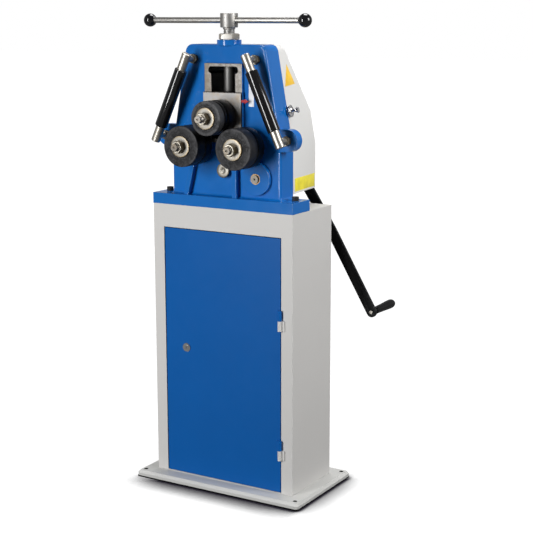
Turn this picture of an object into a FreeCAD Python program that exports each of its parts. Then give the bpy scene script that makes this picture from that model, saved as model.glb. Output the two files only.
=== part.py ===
"""Ring roller: a hand-cranked three-roll section bending machine on a cabinet stand.

Millimetres and degrees.  X runs along the width, Y from front to back, Z up.  Every
drawing has Y = 0 on the cabinet's front face; each finished part is then moved so that
the origin lies on the floor, at the centre of the foot's anchor holes.
"""
import FreeCAD, Part
import math
import os
import Sketcher

os.makedirs("parts", exist_ok=True)
doc = FreeCAD.newDocument("RingRoller")
sheet = doc.addObject("Spreadsheet::Sheet", "Sizes")

SIZES = {
    # foot plate and mat
    "foot_half_width": 267, "foot_front": 48, "foot_back": 261.5, "foot_thick": 15,
    "foot_bevel": 7, "foot_corner": 10, "mat_thick": 5, "mat_inset": 2,
    "anchor_half_x": 249, "anchor_half_y": 134, "anchor_radius": 6,
    # cabinet, door, hinges and lock
    "cabinet_half_width": 225, "cabinet_depth": 215, "cabinet_height": 778,
    "sheet_thick": 2, "sheet_bend": 2.5, "opening_half_width": 189.5, "opening_drop": 64,
    "return_depth": 14, "door_gap": 2, "door_foot_gap": 1, "door_depth": 18,
    "hinge_inset": 1.5, "hinge_forward": 6, "knuckle_radius": 5.5, "knuckle_length": 27.5,
    "hinge_high": 488.8, "hinge_low": 125, "knuckle_gap": 0.3, "pin_radius": 3,
    "leaf_thick": 3, "leaf_width": 13,
    "lock_x": 118.7, "lock_height": 375, "lock_flange_radius": 12.5, "lock_radius": 9,
    "barrel_radius": 6.5, "cam_reach": 80, "cam_half_width": 7, "cam_thick": 3,
    # cast frame; heights are above the cabinet's top
    "bed_thick": 30, "bed_depth": 90, "wall_front": 25, "frame_half_width": 174,
    "frame_top_half": 124.4, "shoulder_height": 164, "frame_height": 438,
    "frame_corner": 22, "frame_edge": 6, "bed_fillet": 8, "bed_bolt_x": 203, "bed_bolt_y": 52,
    "bed_bolt_radius": 6, "lower_height": 170, "lower_half_span": 82.5, "upper_rise": 78,
    "window_half": 38, "window_bottom": 187, "window_top": 380, "relief_radius": 9.3,
    "pad_half": 59.5, "pad_front": 16.5, "pad_bottom": 177, "pad_top": 388.5,
    "roll_boss_radius": 30, "roll_boss_front": 10, "crank_boss_radius": 44,
    "crank_boss_front": 15, "screw_y": 48.5, "top_boss_radius": 33,
    "top_boss_bottom": 435, "top_boss_top": 449.7, "rib_width": 14, "rib_front": 9,
    "rib_slant": 0.25, "ear_radius": 30, "ear_depth": 28, "relief_wall": 25,
    # pressure screw, its nut and the tommy bar
    "screw_radius": 15, "nut_flats": 50, "nut_height": 16.8, "nut_shank_radius": 20,
    "head_clear": 10.5, "shoulder_length": 5, "shoulder_radius": 16.5,
    "head_radius": 23.7, "head_height": 37.6, "bar_radius": 8, "bar_height": 19,
    "bar_left": 258.7, "bar_right": 232.2, "ball_radius": 18, "neck_radius": 10,
    "neck_length": 8, "collar_radius": 17, "collar_height": 10, "collar_gap": 0.2,
    # slide block
    "slide_gap": 0.1, "block_up": 65, "block_down": 38, "flange_half": 59.6,
    "flange_front": 10, "keeper_half": 52, "keeper_thick": 6, "keeper_trim": 4,
    "keeper_screw_x": 28, "keeper_screw_radius": 4, "keeper_head_radius": 6.5,
    "keeper_head_height": 4.5, "pointer_low": 36.4, "pointer_high": 48.5,
    "pointer_tip": 23, "pointer_thick": 2.5, "pointer_root": 6,
    "strip_left": 75.7, "strip_right": 91.3, "strip_bottom": 276, "strip_top": 362,
    "strip_thick": 1,
    # rolls and their shafts; y values are behind the cabinet's front
    "upper_radius": 46, "lower_radius": 55, "groove_depth": 8, "rim": 2,
    "rolls_back": 4, "upper_front": -70, "upper_groove_a": -48, "upper_groove_b": -44,
    "upper_groove_c": -34, "upper_groove_d": -28, "lower_front": -67,
    "lower_groove_a": -30, "lower_groove_b": -27, "washer_radius": 29,
    "washer_thick": 4, "roll_nut_flats": 30, "roll_nut_height": 18,
    "upper_end": -108, "lower_end": -99, "upper_stub": 10.5, "lower_stub": 11,
    "upper_shaft_radius": 12.5, "lower_seat": 14, "lower_journal": 15,
    "stop_back": 9.5, "upper_stop_radius": 18, "lower_stop_radius": 20,
    "bush_wall": 4, "bush_length": 30, "running": 0.05, "ring_thick": 1.2,
    "ring_depth": 1, "ring_out": 3, "key_half": 4, "key_in": 3, "key_out": 3,
    # gears, idler and crank
    "module": 3, "roll_teeth": 42, "idler_teeth": 29, "crank_teeth": 16,
    "gear_front": 104, "gear_width": 28, "hub_front": 90.5, "hub_radius": 22,
    "backlash": 0.4, "crank_x": 100.5, "idler_radius": 15, "idler_head_radius": 20,
    "idler_head": 4.5, "idler_front": 10, "crank_journal": 11, "crank_body": 14,
    "crank_bush_wall": 3.5, "arm_front": 250, "square_half": 7.4, "arm_thick": 8,
    "arm_half": 15, "arm_length": 448, "arm_lean": 30.37, "joggle": 12,
    "joggle_start": 60, "joggle_end": 190, "crank_screw_radius": 4,
    "crank_washer_radius": 10, "grip_bolt_radius": 5, "ferrule_radius": 7,
    "ferrule_length": 15, "grip_length": 114, "grip_front_radius": 10.5,
    "grip_back_radius": 13, "grip_gap": 0.3,
    # guide bars
    "guide_y": -19.5, "guide_x": 199, "guide_height": 176, "guide_tilt": 24.45,
    "guide_length": 261, "guide_radius": 12.5, "stud_inset": 15.6, "stud_radius": 8,
    "guide_nut_flats": 24, "guide_nut_height": 12, "sleeve_start": 46.1,
    "sleeve_length": 167.3, "sleeve_radius": 17, "upper_stud_depth": 35,
    # rear cover
    "cover_back": 246, "cover_height": 40.5, "cover_taper": 0.114, "cover_thick": 2,
    "slant_height": 252, "slant_ratio": 0.665, "cover_corner": 22, "cover_bend": 25,
    "knob_y": 7, "knob_height": 262, "knob_radius": 17, "knob_base": 8.6,
    "knob_neck_radius": 6, "knob_neck": 15.4, "knob_cap_radius": 8.25, "knob_cap": 6,
    "knob_stud_radius": 4, "knob_stud": 24, "cover_lug_depth": 14,
}


class Size:
    """A number together with the sheet expression that gives it."""

    def __init__(self, value, text):
        self.value = float(value)
        self.text = text

    def __add__(self, other):
        other = as_size(other)
        return Size(self.value + other.value, f"({self.text} + {other.text})")

    def __sub__(self, other):
        other = as_size(other)
        return Size(self.value - other.value, f"({self.text} - {other.text})")

    def __mul__(self, other):
        other = as_size(other)
        return Size(self.value * other.value, f"({self.text} * {other.text})")

    def __truediv__(self, other):
        other = as_size(other)
        return Size(self.value / other.value, f"({self.text} / {other.text})")

    def __neg__(self):
        return Size(-self.value, f"(-1 * {self.text})")

    def __radd__(self, other):
        return as_size(other) + self

    def __rsub__(self, other):
        return as_size(other) - self

    def __rmul__(self, other):
        return as_size(other) * self


def as_size(number):
    """The number itself if it is a Size, or a Size with a plain number as its text."""
    if isinstance(number, Size):
        return number
    return Size(number, f"({float(number):.6f})")


def root(amount):
    """The square root of a Size."""
    return Size(math.sqrt(amount.value), f"sqrt({amount.text})")


def sine(angle):
    """The sine of a Size in degrees."""
    return Size(math.sin(math.radians(angle.value)), f"sin({angle.text})")


def cosine(angle):
    """The cosine of a Size in degrees."""
    return Size(math.cos(math.radians(angle.value)), f"cos({angle.text})")


class Sizes:
    """The sheet's rows as attributes."""

    row = 0

    def give(self, name, content, value):
        """Add one row to the sheet and keep it as an attribute."""
        self.row += 1
        sheet.set(f"A{self.row}", name)
        sheet.set(f"B{self.row}", content)
        sheet.setAlias(f"B{self.row}", name)
        setattr(self, name, Size(value, "Sizes." + name))

    def derive(self, name, amount):
        """Add a row that the sheet works out from other rows."""
        self.give(name, "=" + amount.text.replace("Sizes.", ""), amount.value)


s = Sizes()
for size_name, size_value in SIZES.items():
    s.give(size_name, str(size_value), size_value)

s.derive("anchor_y", (s.foot_back - s.foot_front) / 2)
s.derive("foot_top", s.mat_thick + s.foot_thick)
s.derive("head_z", s.foot_top + s.cabinet_height)
s.derive("side_slope", (s.frame_half_width - s.frame_top_half) / (s.frame_height - s.shoulder_height))
s.derive("lower_z", s.head_z + s.lower_height)
s.derive("upper_z", s.lower_z + s.upper_rise)
s.derive("roll_pitch", s.module * s.roll_teeth / 2)
s.derive("idler_pitch", s.module * s.idler_teeth / 2)
s.derive("crank_pitch", s.module * s.crank_teeth / 2)
s.derive("idler_centres", s.roll_pitch + s.idler_pitch)
s.derive("crank_centres", s.roll_pitch + s.crank_pitch)
s.derive("idler_z", s.lower_z - root(s.idler_centres * s.idler_centres
                                     - s.lower_half_span * s.lower_half_span))
s.derive("crank_side", s.crank_x - s.lower_half_span)
s.derive("crank_z", s.lower_z - root(s.crank_centres * s.crank_centres - s.crank_side * s.crank_side))
s.derive("block_top", s.upper_z + s.block_up)
s.derive("block_bottom", s.upper_z - s.block_down)
s.derive("block_back", s.bed_depth + s.slide_gap)
s.derive("nut_top", s.head_z + s.top_boss_top + s.nut_height)
s.derive("screw_head", s.nut_top + s.head_clear + s.shoulder_length)
s.derive("bar_z", s.screw_head + s.bar_height)
s.derive("lower_bush", s.lower_journal + s.bush_wall)
s.derive("upper_bush", s.upper_shaft_radius + s.bush_wall)
s.derive("crank_bush", s.crank_journal + s.crank_bush_wall)
s.derive("gear_back", s.gear_front + s.gear_width)
s.derive("pointer_z", s.upper_z + (s.pointer_low + s.pointer_high) / 2)
s.derive("pointer_shaft", (s.pointer_high - s.pointer_low) * 0.28)
s.derive("hinge_x", s.opening_half_width - s.hinge_inset)
doc.recompute()

SIDES = (-1, 1)
TURNS = {"x": ((0, 1, 0), 90), "y": ((1, 0, 0), -90), "z": ((0, 0, 1), 0)}
PLANES = {"x": "YZ_Plane", "y": "XZ_Plane", "z": "XY_Plane"}


# ---------------------------------------------------------------- binding and placing
def bind(thing, prop, amount):
    """Tie one property of an object to the sheet."""
    thing.setExpression(prop, as_size(amount).text)


def put(thing, x=0, y=0, z=0, axis="z"):
    """Place an object at a point, with its own Z along the named axis."""
    direction, angle = TURNS[axis]
    rotation = FreeCAD.Rotation(FreeCAD.Vector(*direction), angle)
    return put_turned(thing, x, y, z, rotation)


def put_turned(thing, x, y, z, rotation):
    """Place an object at a point with any rotation."""
    thing.Placement = FreeCAD.Placement(FreeCAD.Vector(), rotation)
    for letter, amount in zip("xyz", (x, y, z)):
        bind(thing, "Placement.Base." + letter, amount)
    return thing


def finish(label, thing, x=0, y=0, z=0):
    """Name a finished sub-part and move it into the common frame."""
    thing.Label = label
    for letter, amount in zip("xyz", (x, as_size(y) - s.anchor_y, z)):
        bind(thing, "Placement.Base." + letter, amount)
    PARTS.append(thing)
    return thing


PARTS = []


# ---------------------------------------------------------------- primitives and booleans
def box(x0, x1, y0, y1, z0, z1):
    """A block between two corners."""
    solid = doc.addObject("Part::Box", "block")
    bind(solid, "Length", as_size(x1) - x0)
    bind(solid, "Width", as_size(y1) - y0)
    bind(solid, "Height", as_size(z1) - z0)
    return put(solid, x0, y0, z0)


def rod(axis, x, y, z, radius, length):
    """A cylinder that starts at a point and runs along an axis."""
    solid = doc.addObject("Part::Cylinder", "rod")
    bind(solid, "Radius", radius)
    bind(solid, "Height", length)
    return put(solid, x, y, z, axis)


def cone(axis, x, y, z, radius, end_radius, length):
    """A truncated cone that starts at a point and runs along an axis."""
    solid = doc.addObject("Part::Cone", "cone")
    bind(solid, "Radius1", radius)
    bind(solid, "Radius2", end_radius)
    bind(solid, "Height", length)
    return put(solid, x, y, z, axis)


def prism(axis, x, y, z, flats, length, sides=6):
    """A regular prism, given across its flats."""
    solid = doc.addObject("Part::Prism", "prism")
    solid.Polygon = sides
    bind(solid, "Circumradius", as_size(flats) / (2 * math.cos(math.pi / sides)))
    bind(solid, "Height", length)
    return put(solid, x, y, z, axis)


def joined(*pieces):
    """One solid from several that touch or overlap."""
    if len(pieces) == 1:
        return pieces[0]
    result = doc.addObject("Part::MultiFuse", "join")
    result.Shapes = list(pieces)
    return result


def cut(base, *tools):
    """A solid with others taken out of it."""
    result = doc.addObject("Part::Cut", "cut")
    result.Base = base
    result.Tool = joined(*tools)
    return result


def common(one, other):
    """What two solids share."""
    result = doc.addObject("Part::Common", "common")
    result.Base = one
    result.Tool = other
    return result


def grouped(*pieces):
    """Separate solids kept side by side in one sub-part."""
    result = doc.addObject("Part::Compound", "group")
    result.Links = list(pieces)
    return result


def tube(axis, x, y, z, bore, radius, length):
    """A cylinder with a bore through it."""
    outer = rod(axis, x, y, z, radius, length)
    return cut(outer, rod(axis, x, y, z, bore, length))


def offset_along(axis, x, y, z, distance):
    """The point moved along an axis."""
    point = {"x": as_size(x), "y": as_size(y), "z": as_size(z)}
    point[axis] = point[axis] + distance
    return point["x"], point["y"], point["z"]


def hex_nut(axis, x, y, z, flats, length, bore):
    """A hexagon nut with its corners chamfered at both ends."""
    corner = as_size(flats) * 0.577
    inner = as_size(flats) * 0.49
    depth = (corner - inner) * 0.6
    middle = offset_along(axis, x, y, z, depth)
    last = offset_along(axis, x, y, z, as_size(length) - depth)
    crown = joined(cone(axis, x, y, z, inner, corner, depth),
                   rod(axis, *middle, corner, as_size(length) - depth * 2),
                   cone(axis, *last, corner, inner, depth))
    body = common(prism(axis, x, y, z, flats, length), crown)
    return cut(body, rod(axis, x, y, z, bore, length))


def socket_screw(axis, x, y, z, head_radius, head, radius, length, forward):
    """A socket-head screw; the point is under its head and forward is the shank's sense."""
    start = offset_along(axis, x, y, z, as_size(head) * (-1 if forward > 0 else 0))
    shank = (x, y, z) if forward > 0 else offset_along(axis, x, y, z, -as_size(length))
    socket = as_size(head) * 0.55
    shift = 0 if forward > 0 else as_size(head) - socket
    recess = offset_along(axis, *start, shift)
    solid = joined(rod(axis, *start, head_radius, head), rod(axis, *shank, radius, length))
    return cut(solid, prism(axis, *recess, as_size(head_radius) * 1.05, socket))


# ---------------------------------------------------------------- sketched bodies
def new_body(name):
    """An empty PartDesign body."""
    return doc.addObject("PartDesign::Body", name)


def draw(body, axis, start, items):
    """A sketch across an axis at a distance along it; items are polygons or circles."""
    sketch = body.newObject("Sketcher::SketchObject", "sketch")
    plane = [part for part in body.Origin.OriginFeatures if part.Role == PLANES[axis]][0]
    sketch.AttachmentSupport = (plane, [""])
    sketch.MapMode = "FlatFace"
    bind(sketch, "AttachmentOffset.Base.z", -as_size(start) if axis == "y" else start)
    for item in items:
        if isinstance(item, list):
            draw_polygon(sketch, item)
        else:
            draw_circle(sketch, *item)
    return sketch


def tie_point(sketch, index, place, x, y):
    """Fix one point of a sketch at its coordinates."""
    for kind, amount, line in (("DistanceX", x, -2), ("DistanceY", y, -1)):
        amount = as_size(amount)
        if abs(amount.value) < 1e-9:
            sketch.addConstraint(Sketcher.Constraint("PointOnObject", index, place, line))
            continue
        number = sketch.addConstraint(Sketcher.Constraint(kind, -1, 1, index, place, amount.value))
        if "Sizes" in amount.text:
            sketch.setExpression(f"Constraints[{number}]", amount.text)


def draw_polygon(sketch, corners):
    """A closed outline of straight lines."""
    points = [FreeCAD.Vector(as_size(x).value, as_size(y).value, 0) for x, y in corners]
    first = sketch.GeometryCount
    count = len(points)
    for place in range(count):
        sketch.addGeometry(Part.LineSegment(points[place], points[(place + 1) % count]))
    for place in range(count):
        after = first + (place + 1) % count
        sketch.addConstraint(Sketcher.Constraint("Coincident", first + place, 2, after, 1))
    for place, (x, y) in enumerate(corners):
        tie_point(sketch, first + place, 1, x, y)


def draw_circle(sketch, x, y, radius):
    """A circle about a point."""
    radius = as_size(radius)
    centre = FreeCAD.Vector(as_size(x).value, as_size(y).value, 0)
    index = sketch.addGeometry(Part.Circle(centre, FreeCAD.Vector(0, 0, 1), radius.value))
    tie_point(sketch, index, 3, x, y)
    number = sketch.addConstraint(Sketcher.Constraint("Radius", index, radius.value))
    if "Sizes" in radius.text:
        sketch.setExpression(f"Constraints[{number}]", radius.text)


def pad(body, axis, start, end, *items):
    """Material between two distances along an axis."""
    feature = body.newObject("PartDesign::Pad", "pad")
    feature.Profile = draw(body, axis, start, items)
    bind(feature, "Length", as_size(end) - start)
    feature.Reversed = axis == "y"
    return feature


def pocket(body, axis, start, end, *items):
    """A hollow between two distances along an axis."""
    feature = body.newObject("PartDesign::Pocket", "pocket")
    feature.Profile = draw(body, axis, start, items)
    bind(feature, "Length", as_size(end) - start)
    feature.Reversed = axis != "y"
    return feature


def rectangle(x0, x1, y0, y1):
    """The corners of a rectangle."""
    return [(x0, y0), (x1, y0), (x1, y1), (x0, y1)]


def revolve(body, axis, corners):
    """Turn an outline of (distance along the axis, radius) about the body's own axis."""
    feature = body.newObject("PartDesign::Revolution", "turn")
    plane = {"x": "z", "y": "z", "z": "y"}[axis]
    items = corners if axis == "x" else [(radius, along) for along, radius in corners]
    sketch = draw(body, plane, 0, [items])
    feature.Profile = sketch
    feature.ReferenceAxis = (sketch, ["H_Axis" if axis == "x" else "V_Axis"])
    feature.Angle = 360
    return feature


def profile(steps, bore=0, centre=0):
    """Corners of a turned outline; a step is (start, end, radius, edge chamfer)."""
    corners = [(as_size(steps[0][0]) + centre, bore)]
    if centre:
        corners.append((steps[0][0], centre))
    for start, end, radius, edge in steps:
        radius = as_size(radius)
        if edge:
            corners += [(start, radius - edge), (as_size(start) + edge, radius),
                        (as_size(end) - edge, radius), (end, radius - edge)]
        else:
            corners += [(start, radius), (end, radius)]
    corners.append((steps[-1][1], bore))
    return corners


def dress(body, kind, amount, wanted):
    """Fillet or chamfer the edges that a test picks out."""
    doc.recompute()
    edges = body.Shape.Edges
    names = [f"Edge{number + 1}" for number, edge in enumerate(edges) if wanted(edge)]
    tip = body.Tip
    feature = body.newObject("PartDesign::" + kind, kind.lower())
    feature.Base = (tip, names)
    bind(feature, "Radius" if kind == "Fillet" else "Size", amount)
    return feature


def runs_along(edge, axis):
    """Whether a straight edge is parallel to an axis."""
    bounds = edge.BoundBox
    spans = {"x": bounds.XLength, "y": bounds.YLength, "z": bounds.ZLength}
    return spans.pop(axis) > 1 and max(spans.values()) < 1e-3


# ---------------------------------------------------------------- foot
def anchor_holes(radius):
    """The four anchor holes as circles."""
    return [(s.anchor_half_x * side, s.anchor_y + s.anchor_half_y * end, radius)
            for side in SIDES for end in SIDES]


def foot_mat():
    """Rubber mat under the foot plate."""
    body = new_body("foot_mat")
    half = s.foot_half_width - s.mat_inset
    outline = rectangle(-half, half, s.mat_inset - s.foot_front, s.foot_back - s.mat_inset)
    pad(body, "z", 0, s.mat_thick, outline, *anchor_holes(s.anchor_radius))
    finish("foot_mat", body)


def foot_plate():
    """Steel foot plate with bevelled edges."""
    body = new_body("foot_plate")
    half = s.foot_half_width
    pad(body, "z", s.mat_thick, s.foot_top, rectangle(-half, half, -s.foot_front, s.foot_back))
    dress(body, "Fillet", s.foot_corner, lambda edge: runs_along(edge, "z"))
    top = s.foot_top.value
    dress(body, "Chamfer", s.foot_bevel, lambda edge: edge.BoundBox.ZMin > top - 1e-3)
    pocket(body, "z", s.mat_thick, s.foot_top, *anchor_holes(s.anchor_radius))
    finish("foot_plate", body)


# ---------------------------------------------------------------- cabinet and door
def cabinet_shell():
    """Folded sheet cabinet with an opening that has returned edges."""
    body = new_body("cabinet_shell")
    half = s.cabinet_half_width
    low = s.foot_top
    sheet_low = low + s.sheet_thick
    opening = s.opening_half_width
    lintel = s.head_z - s.opening_drop
    pad(body, "z", low, s.head_z, rectangle(-half, half, 0, s.cabinet_depth))
    dress(body, "Fillet", s.sheet_bend, lambda edge: runs_along(edge, "z"))
    pocket(body, "y", s.sheet_thick, s.cabinet_depth - s.sheet_thick,
           rectangle(s.sheet_thick - half, half - s.sheet_thick, sheet_low, s.head_z - s.sheet_thick))
    pocket(body, "y", 0, s.sheet_thick, rectangle(-opening, opening, sheet_low, lintel))
    edge = opening + s.sheet_thick
    pad(body, "y", s.sheet_thick, s.sheet_thick + s.return_depth,
        [(-edge, sheet_low), (-opening, sheet_low), (-opening, lintel), (opening, lintel),
         (opening, sheet_low), (edge, sheet_low), (edge, lintel + s.sheet_thick),
         (-edge, lintel + s.sheet_thick)])
    holes = [(s.bed_bolt_x * side, s.bed_bolt_y, s.bed_bolt_radius + 0.5) for side in SIDES]
    pocket(body, "z", s.head_z - s.sheet_thick, s.head_z, *holes)
    finish("cabinet_shell", body)


def door_panel():
    """Folded door pan with a hole for the lock."""
    body = new_body("door_panel")
    half = s.opening_half_width - s.door_gap
    low = s.foot_top + s.sheet_thick + s.door_foot_gap
    high = s.head_z - s.opening_drop - s.door_gap
    pad(body, "y", 0, s.door_depth, rectangle(-half, half, low, high))
    dress(body, "Fillet", s.sheet_thick, lambda edge: edge.BoundBox.YMax < 1e-3)
    pocket(body, "y", s.sheet_thick, s.door_depth,
           rectangle(s.sheet_thick - half, half - s.sheet_thick,
                     low + s.sheet_thick, high - s.sheet_thick))
    pocket(body, "y", 0, s.sheet_thick, (-s.lock_x, s.foot_top + s.lock_height, s.lock_radius))
    finish("door_panel", body)


def knuckle(height, sense, side):
    """One barrel of a hinge, above or below a height, with its leaf to one side."""
    low = s.foot_top + height
    if sense < 0:
        low = low - s.knuckle_length
    else:
        low = low + s.knuckle_gap
    ends = (low, low + s.knuckle_length)
    barrel = rod("z", s.hinge_x, -s.hinge_forward, low, s.knuckle_radius, s.knuckle_length)
    reach = s.hinge_x + s.leaf_width * side
    span = (reach, s.hinge_x) if side < 0 else (s.hinge_x, reach)
    return joined(barrel, box(*span, -s.leaf_thick, 0, *ends))


def cabinet_knuckles():
    """Lower halves of the lift-off hinges, each with its pin."""
    pieces = []
    for height in (s.hinge_high, s.hinge_low):
        pin = rod("z", s.hinge_x, -s.hinge_forward, s.foot_top + height - s.knuckle_length,
                  s.pin_radius, s.knuckle_length * 1.9)
        pieces.append(joined(knuckle(height, -1, 1), pin))
    finish("cabinet_knuckles", grouped(*pieces))


def door_knuckles():
    """Upper halves of the hinges, bored from below for the pins."""
    pieces = []
    for height in (s.hinge_high, s.hinge_low):
        bore = rod("z", s.hinge_x, -s.hinge_forward, s.foot_top + height,
                   s.pin_radius + s.running, s.knuckle_length * 0.95)
        pieces.append(cut(knuckle(height, 1, -1), bore))
    finish("door_knuckles", grouped(*pieces))


def lock():
    """Cam lock: the body is fixed in the door and the barrel turns in it, its cam hanging unlocked."""
    body = new_body("lock_body")
    z = s.foot_top + s.lock_height
    flange = s.lock_flange_radius
    revolve(body, "y", profile([(-2.5, 0, flange, 0.8), (0, s.door_depth - 1, s.lock_radius, 0)],
                               s.barrel_radius + s.running))
    finish("lock_body", body, -s.lock_x, 0, z)
    cam_front = s.door_depth + 1.2
    barrel = joined(rod("y", -s.lock_x, -3.3, z, s.barrel_radius, cam_front + 3.3),
                    box(-s.lock_x - s.cam_half_width, -s.lock_x + s.cam_half_width, cam_front,
                        cam_front + s.cam_thick, z - s.cam_reach, z + s.cam_half_width))
    slot = box(-s.lock_x - 0.8, -s.lock_x + 0.8, -3.3, 4, z - 4, z + 4)
    finish("lock_barrel", cut(barrel, slot))


# ---------------------------------------------------------------- cast frame
def side_normal():
    """Rotation that stands Z on the cover's right side."""
    normal = FreeCAD.Vector(1, s.cover_taper.value, s.side_slope.value)
    return FreeCAD.Rotation(FreeCAD.Vector(0, 0, 1), normal)


def mirrored_normal():
    """Rotation that stands Z on the cover's left side."""
    normal = FreeCAD.Vector(-1, s.cover_taper.value, s.side_slope.value)
    return FreeCAD.Rotation(FreeCAD.Vector(0, 0, 1), normal)


def knob_point(side):
    """Where a cover knob meets the cover's side, and the rotation of its axis."""
    fall = s.side_slope * (s.knob_height - s.shoulder_height)
    x = s.frame_half_width - fall - s.cover_taper * s.knob_y
    rotation = side_normal() if side > 0 else mirrored_normal()
    return x * side, s.bed_depth + s.knob_y, s.head_z + s.knob_height, rotation


def frame_walls(body):
    """Bed, upright wall and the front pads and bosses."""
    head = s.head_z
    bed_top = head + s.bed_thick
    half = s.frame_half_width
    top = s.frame_top_half
    shoulder = head + s.shoulder_height
    crest = head + s.frame_height
    front = s.wall_front
    back = s.bed_depth
    middle = head + s.bed_thick / 2
    pad(body, "z", head, bed_top, rectangle(-s.cabinet_half_width, s.cabinet_half_width, 0, back))
    pad(body, "y", front, back, [(-half, middle), (half, middle), (half, shoulder), (top, crest),
                                 (-top, crest), (-half, shoulder)])
    high = crest.value - 1
    dress(body, "Fillet", s.frame_corner,
          lambda edge: runs_along(edge, "y") and edge.BoundBox.ZMin > high)
    level = bed_top.value
    dress(body, "Fillet", s.frame_edge,
          lambda edge: abs(edge.BoundBox.YMin - front.value) < 1e-3 and edge.BoundBox.YLength < 1e-3
          and edge.BoundBox.ZMax > level + 1)
    inside = half.value + 1
    dress(body, "Fillet", s.bed_fillet,
          lambda edge: abs(edge.BoundBox.ZMin - level) < 1e-3 and edge.BoundBox.ZLength < 1e-3
          and edge.BoundBox.XMax < inside and edge.BoundBox.XMin > -inside
          and edge.BoundBox.YMin > front.value - 1e-3 and edge.BoundBox.YMin < back.value - 1)
    pad(body, "y", s.pad_front, front,
        rectangle(-s.pad_half, s.pad_half, head + s.pad_bottom, head + s.pad_top))
    pad(body, "y", s.roll_boss_front, front,
        *[(s.lower_half_span * side, s.lower_z, s.roll_boss_radius) for side in SIDES])
    pad(body, "y", s.crank_boss_front, front, (s.crank_x, s.crank_z, s.crank_boss_radius))
    pad(body, "z", head + s.top_boss_bottom, head + s.top_boss_top, (0, s.screw_y, s.top_boss_radius))


def frame_ribs(body):
    """The two ribs that run from the rolls down to the bed."""
    bed_top = s.head_z + s.bed_thick
    start = bed_top - s.bed_thick / 2
    right = s.frame_half_width / 4
    pad(body, "y", s.rib_front, s.wall_front,
        rectangle(right - s.rib_width, right, start, s.head_z + s.pad_bottom + 4))
    low_x = s.lower_half_span + 34
    crest = s.lower_z - s.roll_boss_radius * 0.8
    high_x = low_x - s.rib_slant * (crest - start)
    pad(body, "y", s.rib_front, s.wall_front,
        [(-low_x - s.rib_width, start), (-low_x, start), (-high_x, crest),
         (-high_x - s.rib_width, crest)])


def guide_stud_points(side):
    """The upper and the lower stud of one guide bar, as (x, z)."""
    points = []
    for along in (s.guide_length - s.stud_inset, s.stud_inset):
        x = s.guide_x - along * sine(s.guide_tilt)
        z = s.head_z + s.guide_height + along * cosine(s.guide_tilt)
        points.append((x * side, z))
    return points


def frame_ears(body):
    """Side ears for the lower guide studs and rear lugs for the cover knobs."""
    for side in SIDES:
        x, z = guide_stud_points(side)[1]
        back = s.wall_front + s.ear_depth
        inner = s.frame_half_width * 0.8 * side
        web = rectangle(inner, x, z - s.ear_radius, z + s.ear_radius)
        pad(body, "y", s.wall_front, back, web)
        pad(body, "y", s.wall_front, back, (x, z, s.ear_radius))
        lug = s.head_z + s.knob_height
        pad(body, "y", s.bed_depth, s.bed_depth + s.cover_lug_depth,
            rectangle((s.frame_half_width - 44) * side, (s.frame_half_width - 25) * side,
                      lug - 13, lug + 13))


def frame_hollows(body):
    """Window, bores, tapped holes and the hollows in the back."""
    head = s.head_z
    back = s.bed_depth
    window = s.window_half
    high = head + s.window_top
    pocket(body, "y", 0, back + 1, rectangle(-window, window, head + s.window_bottom, high))
    for side in SIDES:
        pocket(body, "y", 0, back + 1, ((window - 0.5) * side, high - s.relief_radius, s.relief_radius))
        pocket(body, "y", 0, back + 1, (s.lower_half_span * side, s.lower_z, s.lower_bush))
        upper, lower = guide_stud_points(side)
        pocket(body, "y", 0, s.wall_front + s.upper_stud_depth, (*upper, s.stud_radius))
        pocket(body, "y", 0, back + 1, (*lower, s.stud_radius))
        pocket(body, "z", head, head + s.bed_thick,
               (s.bed_bolt_x * side, s.bed_bolt_y, s.bed_bolt_radius + 0.5))
        pocket(body, "y", s.wall_front + s.relief_wall, back,
               rectangle((s.pad_half - 4) * side, (s.pad_half + 58) * side, s.lower_z + 47,
                         s.lower_z + 190))
    pocket(body, "y", 0, back + 1, (0, s.idler_z, s.idler_radius))
    pocket(body, "y", 0, back + 1, (s.crank_x, s.crank_z, s.crank_bush))
    pocket(body, "z", high - 1, head + s.top_boss_top, (0, s.screw_y, s.nut_shank_radius))


def roller_frame():
    """The cast frame that carries every shaft."""
    body = new_body("casting")
    frame_walls(body)
    frame_ribs(body)
    frame_ears(body)
    frame_hollows(body)
    tools = []
    for side in SIDES:
        x, y, z, rotation = knob_point(side)
        hole = doc.addObject("Part::Cylinder", "tapping")
        bind(hole, "Radius", s.knob_stud_radius)
        bind(hole, "Height", s.knob_stud * 2)
        back = rotation.multVec(FreeCAD.Vector(0, 0, -s.knob_stud.value))
        put_turned(hole, x + back.x, y + back.y, z + back.z, rotation)
        tools.append(hole)
    finish("roller_frame", cut(body, *tools))


def bed_fasteners():
    """Socket screws through the bed and flange nuts under the cabinet's top."""
    bolts = []
    nuts = []
    top = s.head_z + s.bed_thick
    under = s.head_z - s.sheet_thick
    for side in SIDES:
        x = s.bed_bolt_x * side
        bolts.append(socket_screw("z", x, s.bed_bolt_y, top, 9.3, 11, s.bed_bolt_radius,
                                  s.bed_thick + s.sheet_thick + 15, -1))
        nut = joined(hex_nut("z", x, s.bed_bolt_y, under - 12, 19, 12, s.bed_bolt_radius),
                     tube("z", x, s.bed_bolt_y, under - 2.5, s.bed_bolt_radius, 13, 2.5))
        nuts.append(nut)
    finish("bed_bolts", grouped(*bolts))
    finish("bed_nuts", grouped(*nuts))


def screw_nut():
    """Hexagon nut with a shank pressed into the top boss."""
    top = s.head_z + s.top_boss_top
    bottom = s.head_z + s.window_top + 1
    bore = s.screw_radius + s.running
    head = hex_nut("z", 0, s.screw_y, top, s.nut_flats, s.nut_height, bore)
    shank = tube("z", 0, s.screw_y, bottom, bore, s.nut_shank_radius, top - bottom)
    finish("screw_nut", joined(head, shank))


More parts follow.
